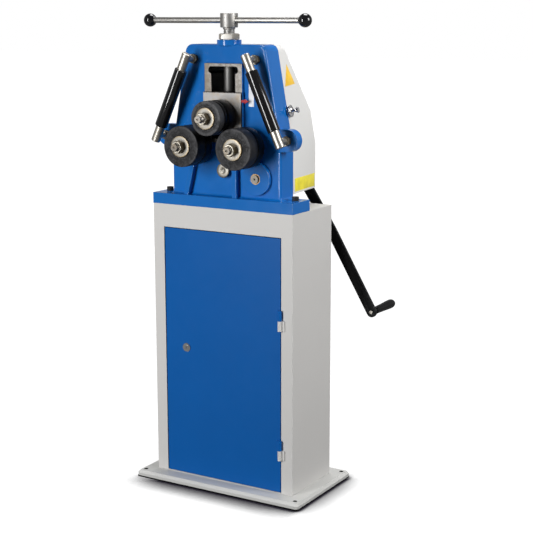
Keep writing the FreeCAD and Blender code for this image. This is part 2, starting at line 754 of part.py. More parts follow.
# ---------------------------------------------------------------- screw and slide block
def pressure_screw():
    """Screw with a collar at its foot and a cross-drilled head."""
    body = new_body("screw_turning")
    collar = s.block_top - s.neck_length - s.collar_gap - s.collar_height
    neck = collar + s.collar_height
    thread = s.block_top + 0.5
    shoulder = s.screw_head - s.shoulder_length
    high = s.screw_head + s.head_height
    revolve(body, "z", profile([(collar, neck, s.collar_radius, 1), (neck, thread, s.neck_radius, 0),
                                (thread, shoulder, s.screw_radius, 0),
                                (shoulder, s.screw_head, s.shoulder_radius, 0),
                                (s.screw_head, high, s.head_radius, 2)]))
    pocket(body, "x", -s.head_radius - 1, s.head_radius + 1, (0, s.bar_z, s.bar_radius + s.running))
    finish("pressure_screw", body, 0, s.screw_y, 0)


def tommy_bar():
    """Bar through the screw's head, with a ball knob pressed on each end."""
    body = new_body("tommy_bar")
    left = -s.bar_left - s.ball_radius * 0.4
    right = s.bar_right + s.ball_radius * 0.4
    revolve(body, "x", profile([(left, right, s.bar_radius, 1)]))
    finish("tommy_bar", body, 0, s.screw_y, s.bar_z)
    knobs = []
    for x, sense in ((-s.bar_left, 1), (s.bar_right, -1)):
        ball = doc.addObject("Part::Sphere", "ball")
        bind(ball, "Radius", s.ball_radius)
        put(ball, x, s.screw_y, s.bar_z)
        reach = s.ball_radius * 1.4
        start = x - s.ball_radius * 0.4 if sense > 0 else x - s.ball_radius
        knobs.append(cut(ball, rod("x", start, s.screw_y, s.bar_z, s.bar_radius, reach)))
    finish("ball_knobs", grouped(*knobs))


def keeper_points():
    """The four screws of the keeper plate, as (x, z)."""
    return [(s.keeper_screw_x * side, z) for side in SIDES
            for z in (s.block_bottom + 12, s.block_top - 27)]


def slide_block():
    """Block that carries the upper shaft; its flange bears on the frame's pad."""
    body = new_body("slide_block")
    half = s.window_half - s.slide_gap
    low = s.block_bottom
    high = s.block_top
    flange_back = s.pad_front - s.slide_gap
    pad(body, "y", s.flange_front, flange_back, rectangle(-s.flange_half, s.flange_half, low, high))
    level = high.value
    dress(body, "Chamfer", 2, lambda edge: runs_along(edge, "x") and edge.BoundBox.ZMin > level - 0.1
          and edge.BoundBox.YMax < s.flange_front.value + 0.1)
    pad(body, "y", flange_back, s.block_back, rectangle(-half, half, low, high))
    pocket(body, "y", 0, s.block_back, (0, s.upper_z, s.upper_bush))
    slot = s.collar_radius + 0.4
    neck = s.neck_radius + 0.4
    floor = high - s.neck_length - s.collar_height - s.collar_gap * 2
    ceiling = high - s.neck_length
    pocket(body, "z", floor, ceiling, rectangle(-slot, slot, s.screw_y, s.block_back))
    pocket(body, "z", floor, ceiling, (0, s.screw_y, slot))
    pocket(body, "z", ceiling, high, rectangle(-neck, neck, s.screw_y, s.block_back))
    pocket(body, "z", ceiling, high, (0, s.screw_y, neck))
    for x, z in keeper_points():
        pocket(body, "y", s.block_back - 16, s.block_back, (x, z, s.keeper_screw_radius))
    pointer_y = s.flange_front + 1.5
    pocket(body, "y", pointer_y, pointer_y + s.pointer_thick,
           rectangle(s.flange_half - s.pointer_root, s.flange_half,
                     s.pointer_z - s.pointer_shaft, s.pointer_z + s.pointer_shaft))
    finish("slide_block", body)


def keeper_plate():
    """Plate behind the block that holds it in the window."""
    body = new_body("keeper_plate")
    back = s.block_back + s.keeper_thick
    half = s.keeper_half
    pad(body, "y", s.block_back, back,
        rectangle(-half, half, s.block_bottom + s.keeper_trim, s.block_top - s.keeper_trim))
    holes = [(x, z, s.keeper_screw_radius) for x, z in keeper_points()]
    pocket(body, "y", s.block_back, back, (0, s.upper_z, s.upper_shaft_radius + 1), *holes)
    finish("keeper_plate", body)
    screws = [socket_screw("y", x, back, z, s.keeper_head_radius, s.keeper_head_height,
                           s.keeper_screw_radius, s.keeper_thick + 14, -1)
              for x, z in keeper_points()]
    finish("keeper_screws", grouped(*screws))


def pointer():
    """Arrow let into the side of the block's flange."""
    body = new_body("pointer")
    front = s.flange_front + 1.5
    low = s.upper_z + s.pointer_low
    high = s.upper_z + s.pointer_high
    under = s.pointer_z - s.pointer_shaft
    over = s.pointer_z + s.pointer_shaft
    left = s.flange_half - s.pointer_root
    neck = s.flange_half + s.pointer_tip * 0.45
    pad(body, "y", front, front + s.pointer_thick,
        [(left, under), (neck, under), (neck, low), (s.flange_half + s.pointer_tip, s.pointer_z),
         (neck, high), (neck, over), (left, over)])
    finish("pointer", body)


def scale_strip():
    """Plain strip on the frame beside the pointer."""
    body = new_body("scale_strip")
    pad(body, "y", s.wall_front - s.strip_thick, s.wall_front,
        rectangle(s.strip_left, s.strip_right, s.head_z + s.strip_bottom, s.head_z + s.strip_top))
    finish("scale_strip", body)


# ---------------------------------------------------------------- rolls and shafts
def turned(label, steps, x, z, bore=0, centre=0, keyed=0):
    """A turned sub-part along Y, with a keyway in its bore if it is keyed."""
    body = new_body(label)
    revolve(body, "y", profile(steps, bore, centre))
    if keyed:
        pocket(body, "y", steps[0][0], steps[-1][1],
               rectangle(-s.key_half, s.key_half, 0, as_size(bore) + s.key_out))
    finish(label, body, x, 0, z)
    return body


def clip(label, x, y, z, radius):
    """Retaining ring in a shaft's groove."""
    inner = as_size(radius) - s.ring_depth
    ring = tube("y", x, y, z, inner, radius + s.ring_out, s.ring_thick)
    gap = box(as_size(x) - 3, as_size(x) + 3, y, as_size(y) + s.ring_thick, as_size(z) - radius * 2, z)
    finish(label, cut(ring, gap))


def washer_and_nut(name, x, z, front, stub):
    """Clamping washer and hexagon nut in front of a roll."""
    face = as_size(front) - s.washer_thick
    turned(name + "_washer", [(face, front, s.washer_radius, 0.8)], x, z, stub)
    nut_front = face - s.roll_nut_height
    body = hex_nut("y", x, nut_front, z, s.roll_nut_flats, s.roll_nut_height, stub)
    finish(name + "_nut", body)


def upper_roll():
    """Upper shaft with its three roll rings, washer, nut and retaining ring."""
    x = 0
    z = s.upper_z
    seat = s.upper_shaft_radius
    root_radius = s.upper_radius - s.groove_depth
    ring = s.block_back + s.keeper_thick + 0.3
    full = s.upper_radius
    parting = (s.upper_groove_a + s.upper_groove_b) / 2
    second = (s.upper_groove_c + s.upper_groove_d) / 2
    turned("upper_front_roll", [(s.upper_front, s.upper_groove_a, full, s.rim),
                                (s.upper_groove_a, parting, root_radius, 0)], x, z, seat)
    turned("upper_middle_roll", [(parting, s.upper_groove_b, root_radius, 0),
                                 (s.upper_groove_b, s.upper_groove_c, full, 1),
                                 (s.upper_groove_c, second, root_radius, 0)], x, z, seat)
    turned("upper_rear_roll", [(second, s.upper_groove_d, root_radius, 0),
                               (s.upper_groove_d, s.rolls_back, full, s.rim)], x, z, seat)
    turned("upper_shaft", [(s.upper_end, s.upper_front + 1, s.upper_stub, 1),
                           (s.upper_front + 1, s.rolls_back, seat, 0),
                           (s.rolls_back, s.stop_back, s.upper_stop_radius, 0),
                           (s.stop_back, ring, seat, 0),
                           (ring, ring + s.ring_thick, seat - s.ring_depth, 0),
                           (ring + s.ring_thick, ring + 4.5, seat, 0.5)], x, z, 0, 3)
    clip("upper_ring", x, ring, z, seat)
    washer_and_nut("upper", x, z, s.upper_front, s.upper_stub)
    bushes = [tube("y", x, y, z, seat + s.running, s.upper_bush, s.bush_length)
              for y in (s.flange_front, s.block_back - s.bush_length)]
    finish("upper_shaft_bushes", grouped(*bushes))


def lower_shaft(name, x):
    """Driven shaft with its stop collar, key seats and ring groove."""
    z = s.lower_z
    seat = s.lower_seat
    ring = s.gear_back + 0.1
    shoulder = s.lower_front + 1
    body = new_body(name + "_shaft")
    revolve(body, "y", profile([(s.lower_end, shoulder, s.lower_stub, 1),
                                (shoulder, s.rolls_back, seat, 0),
                                (s.rolls_back, s.stop_back, s.lower_stop_radius, 0),
                                (s.stop_back, s.hub_front, s.lower_journal, 0),
                                (s.hub_front, ring, seat, 0),
                                (ring, ring + s.ring_thick, seat - s.ring_depth, 0),
                                (ring + s.ring_thick, ring + 4.5, seat, 0.5)], 0, 3))
    for start, end in key_spans():
        pocket(body, "y", start, end, rectangle(-s.key_half, s.key_half, seat - s.key_in, seat + 9))
    finish(name + "_shaft", body, x, 0, z)


def key_spans():
    """Where the two keys of a driven shaft lie."""
    return ((s.lower_front + 3, s.rolls_back - 1), (s.hub_front + 2, s.gear_back - 1))


def lower_roll(name, side):
    """One driven roll set."""
    x = s.lower_half_span * side
    z = s.lower_z
    seat = s.lower_seat
    full = s.lower_radius
    root_radius = full - s.groove_depth
    parting = (s.lower_groove_a + s.lower_groove_b) / 2
    lower_shaft(name, x)
    turned(name + "_front_roll", [(s.lower_front, s.lower_groove_a, full, s.rim),
                                  (s.lower_groove_a, parting, root_radius, 0)], x, z, seat, 0, 1)
    turned(name + "_rear_roll", [(parting, s.lower_groove_b, root_radius, 0),
                                 (s.lower_groove_b, s.rolls_back, full, s.rim)], x, z, seat, 0, 1)
    washer_and_nut(name, x, z, s.lower_front, s.lower_stub)
    keys = [box(x - s.key_half, x + s.key_half, start, end, z + seat - s.key_in, z + seat + s.key_out)
            for start, end in key_spans()]
    finish(name + "_keys", grouped(*keys))
    clip(name + "_ring", x, s.gear_back + 0.1, z, seat)


def lower_bushes():
    """Two bushes for each lower shaft, pressed into the frame."""
    bushes = [tube("y", s.lower_half_span * side, y, s.lower_z, s.lower_journal + s.running,
                   s.lower_bush, s.bush_length)
              for side in SIDES for y in (s.roll_boss_front, s.bed_depth - s.bush_length)]
    finish("lower_shaft_bushes", grouped(*bushes))


# ---------------------------------------------------------------- gears
def involute(angle):
    """The involute function."""
    return math.tan(angle) - angle


def gear_points(teeth, phase, y):
    """Outline of a gear across Y; the first tooth is centred on the phase."""
    pitch = s.module.value * teeth / 2
    base = pitch * math.cos(math.radians(20))
    tip = pitch + 0.92 * s.module.value
    foot = pitch - 1.25 * s.module.value
    half = math.pi / (2 * teeth) - s.backlash.value / (4 * pitch) + involute(math.radians(20))
    flank = []
    for radius in (max(foot, base), pitch, tip):
        flank.append((radius, half - involute(math.acos(min(1, base / radius)))))
    side = [(foot, flank[0][1])] if foot < base else []
    side += flank
    points = []
    for tooth in range(teeth):
        centre = phase + 2 * math.pi * tooth / teeth
        turns = [(radius, centre - turn) for radius, turn in side]
        turns += [(radius, centre + turn) for radius, turn in reversed(side)]
        points += [FreeCAD.Vector(radius * math.cos(turn), y, radius * math.sin(turn))
                   for radius, turn in turns]
    return points + points[:1]


def gear_solid(teeth, phase, start, end):
    """A toothed solid about the Y axis."""
    face = Part.Face(Part.makePolygon(gear_points(teeth, phase, start)))
    return face.extrude(FreeCAD.Vector(0, end - start, 0))


def mesh_phase(teeth, phase, direction, other_teeth):
    """Phase of a second gear so that its gap meets a tooth of the first."""
    turn = 2 * math.pi
    place = (direction - phase) * teeth / turn
    return direction + math.pi - (0.5 - place) * turn / other_teeth


def gear_phases():
    """Phases of the idler, the two roll gears and the crank's pinion."""
    idler = int(s.idler_teeth.value)
    roll = int(s.roll_teeth.value)
    rise = s.lower_z.value - s.idler_z.value
    span = s.lower_half_span.value
    right = mesh_phase(idler, 0, math.atan2(rise, span), roll)
    left = mesh_phase(idler, 0, math.atan2(rise, -span), roll)
    fall = s.crank_z.value - s.lower_z.value
    crank = mesh_phase(roll, right, math.atan2(fall, s.crank_side.value), int(s.crank_teeth.value))
    return {"idler": 0, "right": right, "left": left, "crank": crank}


def gear_shape(teeth, phase, bore, keyed):
    """Gear with a hub in front, its bore and, if keyed, a keyway."""
    front = s.gear_front.value
    back = s.gear_back.value
    hub = s.hub_front.value
    along = FreeCAD.Vector(0, 1, 0)
    solid = gear_solid(teeth, phase, front, back)
    solid = solid.fuse(Part.makeCylinder(s.hub_radius.value, front - hub, FreeCAD.Vector(0, hub, 0), along))
    solid = solid.cut(Part.makeCylinder(bore, back - hub, FreeCAD.Vector(0, hub, 0), along))
    if keyed:
        half = s.key_half.value
        corner = FreeCAD.Vector(-half, hub, 0)
        solid = solid.cut(Part.makeBox(2 * half, back - hub, bore + s.key_out.value, corner))
    return solid


def gears():
    """Roll gears and idler gear."""
    phases = gear_phases()
    roll = int(s.roll_teeth.value)
    for name, side in (("left", -1), ("right", 1)):
        gear = doc.addObject("Part::Feature", name + "_gear")
        gear.Shape = gear_shape(roll, phases[name], s.lower_seat.value, True)
        finish(name + "_gear", gear, s.lower_half_span * side, 0, s.lower_z)
    gear = doc.addObject("Part::Feature", "idler_gear")
    bore = s.idler_radius.value + s.running.value
    gear.Shape = gear_shape(int(s.idler_teeth.value), phases["idler"], bore, False)
    finish("idler_gear", gear, 0, 0, s.idler_z)


def idler_axle():
    """Headed axle pressed into the frame from behind."""
    head = s.gear_back + 0.5
    turned("idler_axle", [(s.idler_front, head, s.idler_radius, 0),
                          (head, head + s.idler_head, s.idler_head_radius, 1)], 0, s.idler_z, 0, 4)


# ---------------------------------------------------------------- crank
def arm_rotation():
    """Rotation that hangs the crank's own -Z along its arm."""
    return FreeCAD.Rotation(FreeCAD.Vector(0, 1, 0), -s.arm_lean.value)


def crank_square(start, length, half):
    """Square bar on the crank's axis, turned with the arm."""
    bar = doc.addObject("Part::Box", "square")
    bind(bar, "Length", half * 2)
    bind(bar, "Width", length)
    bind(bar, "Height", half * 2)
    corner = arm_rotation().multVec(FreeCAD.Vector(-half.value, 0, -half.value))
    put_turned(bar, s.crank_x + corner.x, start, s.crank_z + corner.z, arm_rotation())
    return bar


def crank_shaft():
    """Crank shaft with its pinion and squared end."""
    x = s.crank_x
    z = s.crank_z
    phase = gear_phases()["crank"]
    pinion = doc.addObject("Part::Feature", "pinion")
    pinion.Shape = gear_solid(int(s.crank_teeth.value), phase, s.gear_front.value - 1,
                              s.gear_back.value + 1)
    put(pinion, x, 0, z)
    shoulder = s.arm_front - 9.5
    back = s.gear_back + 1
    spans = [(s.idler_front, s.hub_front, s.crank_journal), (s.hub_front, s.gear_front, 17),
             (s.gear_front, back, s.crank_body), (back, shoulder, s.crank_body),
             (shoulder, s.arm_front, s.crank_journal)]
    rods = [rod("y", x, start, z, radius, as_size(end) - start) for start, end, radius in spans]
    solid = joined(pinion, *rods, crank_square(s.arm_front, s.arm_thick - 0.5, s.square_half))
    tapping = rod("y", x, s.arm_front - 12, z, s.crank_screw_radius, 30)
    drill = cone("y", x, s.idler_front, z, 3, 0.5, 4)
    finish("crank_shaft", cut(solid, tapping, drill))


def crank_bushes():
    """Two bushes in the frame and one in the cover's back."""
    x = s.crank_x
    z = s.crank_z
    bore = s.crank_journal + s.running
    bushes = [tube("y", x, y, z, bore, s.crank_bush, s.bush_length)
              for y in (s.crank_boss_front, s.bed_depth - s.bush_length)]
    back = s.cover_back
    rear = joined(rod("y", x, back - 5, z, s.crank_bush, 8), rod("y", x, back - 5, z, 20, 3))
    bushes.append(cut(rear, rod("y", x, back - 6, z, bore, 12)))
    finish("crank_bushes", grouped(*bushes))


def crank_arm():
    """Flat joggled arm with rounded ends, drawn hanging down from its hub."""
    body = new_body("arm_bar")
    half = s.arm_half
    front = s.arm_front
    out = front + s.joggle
    thick = s.arm_thick
    pad(body, "y", front, front + thick, rectangle(-half, half, -s.joggle_start, 0))
    pad(body, "y", front, front + thick, (0, 0, half))
    pad(body, "y", out, out + thick, rectangle(-half, half, -s.arm_length, -s.joggle_end))
    pad(body, "x", -half, half,
        [(front, -s.joggle_start), (out, -s.joggle_end), (out + thick, -s.joggle_end),
         (front + thick, -s.joggle_start)])
    pad(body, "y", out, out + thick, (0, -s.arm_length, half))
    pocket(body, "y", front, front + thick,
           rectangle(-s.square_half, s.square_half, -s.square_half, s.square_half))
    pocket(body, "y", out, out + thick, (0, -s.arm_length, s.grip_bolt_radius))
    body.Placement = FreeCAD.Placement(FreeCAD.Vector(), arm_rotation())
    finish("crank_arm", body, s.crank_x, 0, s.crank_z)


def crank_fastener():
    """Screw with a broad head that holds the arm on its square."""
    top = s.arm_front + s.arm_thick
    screw = joined(rod("y", s.crank_x, s.arm_front - 10, s.crank_z, s.crank_screw_radius, 18),
                   rod("y", s.crank_x, top, s.crank_z, s.crank_washer_radius, 3),
                   prism("y", s.crank_x, top + 3, s.crank_z, 13, 5.5))
    finish("crank_screw", screw)


def grip():
    """Shouldered bolt with the grip that turns on it."""
    x = s.crank_x + s.arm_length * sine(s.arm_lean)
    z = s.crank_z - s.arm_length * cosine(s.arm_lean)
    front = s.arm_front + s.joggle
    back = front + s.arm_thick
    seat = back + s.ferrule_length
    start = seat + s.grip_gap
    end = start + s.grip_length
    recess = end - 9
    turned("grip_bolt", [(front - 2.5, back, s.grip_bolt_radius, 0.6),
                         (back, seat, s.ferrule_radius, 0.5),
                         (seat, recess + s.grip_gap, s.grip_bolt_radius, 0),
                         (recess + s.grip_gap, recess + 5.5, 8, 0.8)], x, z)
    body = new_body("crank_grip")
    bore = s.grip_bolt_radius + s.running
    low = s.grip_front_radius
    high = s.grip_back_radius
    revolve(body, "y", [(start, bore), (start, low - 2), (start + 2, low), (end - 6, high),
                        (end - 2, high - 1.5), (end, high - 4), (end, 8.3), (recess, 8.3),
                        (recess, bore)])
    finish("crank_grip", body, x, 0, z)


# ---------------------------------------------------------------- guide bars
def guide_rotation(side):
    """Rotation that leans Z inwards along a guide bar."""
    return FreeCAD.Rotation(FreeCAD.Vector(0, 1, 0), -s.guide_tilt.value * side)


def guide_rod(side, along, radius, length):
    """A cylinder on the axis of one guide bar."""
    solid = doc.addObject("Part::Cylinder", "guide")
    bind(solid, "Radius", radius)
    bind(solid, "Height", length)
    x = (s.guide_x - along * sine(s.guide_tilt)) * side
    z = s.head_z + s.guide_height + along * cosine(s.guide_tilt)
    return put_turned(solid, x, s.guide_y, z, guide_rotation(side))


def guides():
    """Guide bars, their studs and nuts, and the sleeves that turn on them."""
    bars = []
    studs = []
    nuts = []
    reach = s.guide_radius + 1
    for side in SIDES:
        upper, lower = guide_stud_points(side)
        holes = [rod("y", x, s.guide_y - reach, z, s.stud_radius, reach * 2) for x, z in (upper, lower)]
        bars.append(cut(guide_rod(side, as_size(0), s.guide_radius, s.guide_length), *holes))
        start = s.guide_y - s.guide_radius
        for (x, z), depth in ((upper, s.upper_stud_depth), (lower, s.ear_depth)):
            studs.append(rod("y", x, start, z, s.stud_radius, s.wall_front + depth - start))
            nuts.append(hex_nut("y", x, s.wall_front - s.guide_nut_height, z, s.guide_nut_flats,
                                s.guide_nut_height, s.stud_radius))
        sleeve = cut(guide_rod(side, s.sleeve_start, s.sleeve_radius, s.sleeve_length),
                     guide_rod(side, s.sleeve_start - 1, s.guide_radius + s.running, s.sleeve_length + 2))
        finish("left_sleeve" if side < 0 else "right_sleeve", sleeve)
    finish("guide_bars", grouped(*bars))
    finish("guide_studs", grouped(*studs))
    finish("guide_nuts", grouped(*nuts))


# ---------------------------------------------------------------- rear cover
def arc_points(x, y, radius, first, last):
    """Points along an arc, with its ends at two angles in degrees."""
    count = 6
    points = []
    for step in range(count + 1):
        angle = math.radians(first + (last - first) * step / count)
        points.append((x + radius * math.cos(angle), y + radius * math.sin(angle)))
    return points


def cover_outline(y, inset):
    """The cover's outline across Y at one distance, set in from the outside."""
    taper = s.cover_taper * (y - s.bed_depth)
    low = s.head_z + s.cover_height + inset
    shoulder = s.head_z + s.shoulder_height
    side = s.frame_half_width - taper - inset
    centre_height = s.frame_height - s.cover_corner
    slope = s.side_slope
    centre_x = (s.frame_half_width - taper - slope * (centre_height - s.shoulder_height)
                - s.cover_corner * root(1 + slope * slope))
    lean = math.degrees(math.atan(slope.value))
    corner = arc_points(centre_x, s.head_z + centre_height, s.cover_corner - inset, lean, 90)
    right = [(side, low), (side, shoulder)] + corner
    return right + [(-x, z) for x, z in reversed(right)]


def cover_solid(name, inset, front, back):
    """The cover's outer or inner solid: tapered sides, with the back's top slanted off."""
    body = new_body(name)
    feature = body.newObject("PartDesign::AdditiveLoft", "loft")
    feature.Profile = draw(body, "y", front, [cover_outline(front, inset)])
    feature.Sections = [draw(body, "y", back, [cover_outline(back, inset)])]
    feature.Ruled = True
    crest = s.head_z + s.frame_height
    start = s.head_z + s.slant_height
    ratio = s.slant_ratio
    across = root(1 + ratio * ratio)
    centre_z = crest - s.cover_bend
    centre_y = s.cover_back - ratio * (centre_z - start) - s.cover_bend * across
    lean = math.degrees(math.atan(ratio.value))
    bend = arc_points(centre_y, centre_z, s.cover_bend - inset, 90, lean)
    low_y = s.cover_back + ratio * 40 - inset * across
    far_y = s.cover_back + 60
    pocket(body, "x", -s.frame_half_width, s.frame_half_width,
           [(far_y, crest + 30), (centre_y, crest + 30)] + bend
           + [(low_y, start - 40), (far_y, start - 40)])
    return body


def gear_cover():
    """Sheet cover over the gears, open towards the frame."""
    thick = s.cover_thick
    outer = cover_solid("cover_outside", as_size(0), s.bed_depth, s.cover_back)
    inner = cover_solid("cover_inside", thick, s.bed_depth - 1, s.cover_back - thick)
    back = s.cover_back
    hole = rod("y", s.crank_x, back - 8, s.crank_z, s.crank_bush, 16)
    tools = [inner, hole]
    for side in SIDES:
        x, y, z, rotation = knob_point(side)
        drill = doc.addObject("Part::Cylinder", "knob_hole")
        bind(drill, "Radius", s.knob_stud_radius)
        bind(drill, "Height", 24)
        shift = rotation.multVec(FreeCAD.Vector(0, 0, -12))
        put_turned(drill, x + shift.x, y + shift.y, z + shift.z, rotation)
        tools.append(drill)
    finish("gear_cover", cut(outer, *tools))


def cover_knobs():
    """Stepped knobs whose studs hold the cover to the frame's rear lugs."""
    knobs = []
    for side in SIDES:
        x, y, z, rotation = knob_point(side)
        pieces = []
        spans = ((-s.knob_stud, as_size(0), s.knob_stud_radius), (as_size(0), s.knob_base, s.knob_radius),
                 (s.knob_base, s.knob_base + s.knob_neck, s.knob_neck_radius),
                 (s.knob_base + s.knob_neck, s.knob_base + s.knob_neck + s.knob_cap, s.knob_cap_radius))
        for start, end, radius in spans:
            step = doc.addObject("Part::Cylinder", "knob_step")
            bind(step, "Radius", radius)
            bind(step, "Height", end - start)
            shift = rotation.multVec(FreeCAD.Vector(0, 0, start.value))
            put_turned(step, x + shift.x, y + shift.y, z + shift.z, rotation)
            pieces.append(step)
        knobs.append(joined(*pieces))
    finish("cover_knobs", grouped(*knobs))


# ---------------------------------------------------------------- build and write
def build():
    """Make every sub-part."""
    foot_mat()
    foot_plate()
    cabinet_shell()
    door_panel()
    cabinet_knuckles()
    door_knuckles()
    lock()
    roller_frame()
    bed_fasteners()
    screw_nut()
    pressure_screw()
    tommy_bar()
    slide_block()
    keeper_plate()
    pointer()
    scale_strip()
    upper_roll()
    lower_roll("left", -1)
    lower_roll("right", 1)
    lower_bushes()
    gears()
    idler_axle()
    crank_shaft()
    crank_bushes()
    crank_arm()
    crank_fastener()
    grip()
    guides()
    gear_cover()
    cover_knobs()
    doc.recompute()


def write():
    """Check every object and write one STEP file for each sub-part."""
    for thing in doc.Objects:
        if "Invalid" in thing.State or "Error" in thing.State:
            raise RuntimeError(f"{thing.Label} did not compute: {thing.State}")
    for thing in PARTS:
        shape = thing.Shape
        if shape.isNull() or not shape.isValid():
            raise RuntimeError(f"{thing.Label} has no valid shape")
        shape.exportStep(f"parts/{thing.Label}.step")
        bounds = shape.BoundBox
        print(f"{thing.Label}: {len(shape.Solids)} solids, x {bounds.XMin:.1f} {bounds.XMax:.1f}, "
              f"y {bounds.YMin:.1f} {bounds.YMax:.1f}, z {bounds.ZMin:.1f} {bounds.ZMax:.1f}")
    print(len(PARTS), "sub-parts")


build()
write()
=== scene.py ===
# %% [markdown]
# # A ring roller on its cabinet
#
# The machine bends bars and flats into rings. Two driven rolls sit below, a third is
# pressed down between them by a screw, and a crank behind turns the train. Its measured
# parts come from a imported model. This lesson gives them finishes, rebuilds the parts
# whose surface needs more than a plain solid, and sets up the studio.

# %% The frame
import math
import bmesh
import bpy
from mathutils import Matrix, Vector


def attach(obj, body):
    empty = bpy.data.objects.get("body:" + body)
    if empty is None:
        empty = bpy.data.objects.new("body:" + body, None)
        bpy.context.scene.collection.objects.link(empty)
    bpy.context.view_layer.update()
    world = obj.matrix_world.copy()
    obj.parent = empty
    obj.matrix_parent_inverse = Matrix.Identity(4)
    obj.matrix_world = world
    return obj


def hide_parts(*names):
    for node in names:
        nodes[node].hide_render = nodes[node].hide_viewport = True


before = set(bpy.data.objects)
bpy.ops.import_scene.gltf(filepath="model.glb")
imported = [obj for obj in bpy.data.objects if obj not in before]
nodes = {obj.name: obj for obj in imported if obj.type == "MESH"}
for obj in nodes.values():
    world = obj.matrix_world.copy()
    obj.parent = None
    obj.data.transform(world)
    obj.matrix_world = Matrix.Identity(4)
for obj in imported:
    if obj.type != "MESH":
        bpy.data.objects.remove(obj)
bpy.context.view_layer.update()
bpy.ops.object.select_all(action="DESELECT")

# %% [markdown]
# ## Shader maths in plain Python
#
# A material is a small graph. Wiring it by hand in code is long, so a wire is wrapped in
# a class: adding or multiplying two wires adds the Math node that does it, and a plain
# number may come first, as in 1 - mask. Every other node comes from one method that sets
# the node's options first and its sockets next.

# %% A wire and a recipe
class Wire:
    """An output socket that can stand in a Python sum."""

    def __init__(self, recipe, socket):
        self.recipe = recipe
        self.socket = socket

    def math(self, operation, first, second):
        sockets = {0: first, 1: second}
        return self.recipe.node("ShaderNodeMath", {"operation": operation}, sockets)

    def __add__(self, other):
        return self.math("ADD", self, other)

    __radd__ = __add__

    def __sub__(self, other):
        return self.math("SUBTRACT", self, other)

    def __rsub__(self, other):
        return self.math("SUBTRACT", other, self)

    def __mul__(self, other):
        return self.math("MULTIPLY", self, other)

    __rmul__ = __mul__

    def __pow__(self, other):
        return self.math("POWER", self, other)

    def __rpow__(self, other):
        return self.math("POWER", other, self)

    def __abs__(self):
        return self.recipe.node("ShaderNodeMath", {"operation": "ABSOLUTE"}, {0: self})

    def most(self, other):
        """The larger of two wires."""
        return self.math("MAXIMUM", self, other)


class Recipe:
    """One material and the nodes that make it."""

    def __init__(self, name):
        self.material = bpy.data.materials.new(name)
        self.material.use_nodes = True
        self.tree = self.material.node_tree
        self.tree.nodes.clear()

    def node(self, kind, settings=None, sockets=None, output=0):
        """Add a node: options first, then the values or wires of its sockets."""
        made = self.tree.nodes.new(kind)
        for key, value in (settings or {}).items():
            setattr(made, key, value)
        for key, value in (sockets or {}).items():
            if isinstance(value, Wire):
                self.tree.links.new(value.socket, made.inputs[key])
            else:
                made.inputs[key].default_value = value
        return Wire(self, made.outputs[output]) if made.outputs else None


print("wires and recipes are ready")

# %% [markdown]
# ## What every finish shares
#
# Real surfaces are never one flat value. Each finish here starts from the object's own
# coordinates in metres, so that a speck or a scratch has its true size, and asks where
# the edges are: the Bevel node bends the normal near an edge, and where it differs from
# the plain normal there is an edge to catch light and lose some paint.

# %% Shared signals
def place_of(recipe):
    """The point on the surface, in metres."""
    return recipe.node("ShaderNodeTexCoord", output="Object")


def plain_normal(recipe):
    """The way that the surface looks."""
    return recipe.node("ShaderNodeNewGeometry", output="Normal")


def axes_of(recipe, vector):
    """The X, Y and Z of a vector."""
    parts = recipe.node("ShaderNodeSeparateXYZ", {}, {0: vector}).socket.node
    return [Wire(recipe, parts.outputs[letter]) for letter in "XYZ"]


def facing(recipe, letter):
    """How squarely a face looks along an axis, either way, from 0 to 1."""
    return abs(axes_of(recipe, plain_normal(recipe))["XYZ".index(letter)])


def distance_from(recipe, centre):
    """The distance from an axis along Y through (x, z), and the place along it."""
    x, y, z = axes_of(recipe, place_of(recipe))
    across, up = x - centre[0], z - centre[1]
    return (across * across + up * up) ** 0.5, y


def noise(recipe, scale, detail=3, roughness=0.55, vector=None):
    """Cloudy noise from 0 to 1; scale is lumps per metre."""
    sockets = {"Vector": vector or place_of(recipe), "Scale": scale, "Detail": detail,
               "Roughness": roughness}
    return recipe.node("ShaderNodeTexNoise", {}, sockets)


def spread(recipe, wire, low, high, start=0.0, end=1.0):
    """Stretch a wire between two values and clamp it."""
    sockets = {"Value": wire, "From Min": low, "From Max": high, "To Min": start, "To Max": end}
    return recipe.node("ShaderNodeMapRange", {"clamp": True}, sockets)


def above(recipe, wire, edge, soft=0.0004):
    """1 where a wire is above an edge, with a soft step in metres."""
    return spread(recipe, wire, edge, edge + soft)


def below(recipe, wire, edge, soft=0.0004):
    """1 where a wire is below an edge, with a soft step in metres."""
    return spread(recipe, wire, edge, edge - soft)


def mix(recipe, factor, first, second):
    """Blend two colours; 6 and 7 are the colour sockets of the Mix node."""
    sockets = {"Factor": factor, 6: first if isinstance(first, Wire) else (*first, 1),
               7: second if isinstance(second, Wire) else (*second, 1)}
    return recipe.node("ShaderNodeMix", {"data_type": "RGBA"}, sockets, output=2)


def round_normal(recipe, radius):
    """The normal, eased over the edges within a radius."""
    return recipe.node("ShaderNodeBevel", {"samples": 6}, {"Radius": radius})


def edges(recipe, radius):
    """A mask that is 1 along edges."""
    sockets = {0: round_normal(recipe, radius), 1: plain_normal(recipe)}
    agree = recipe.node("ShaderNodeVectorMath", {"operation": "DOT_PRODUCT"}, sockets,
                        output="Value")
    return spread(recipe, (1 - agree) * 6.0, 0, 1)


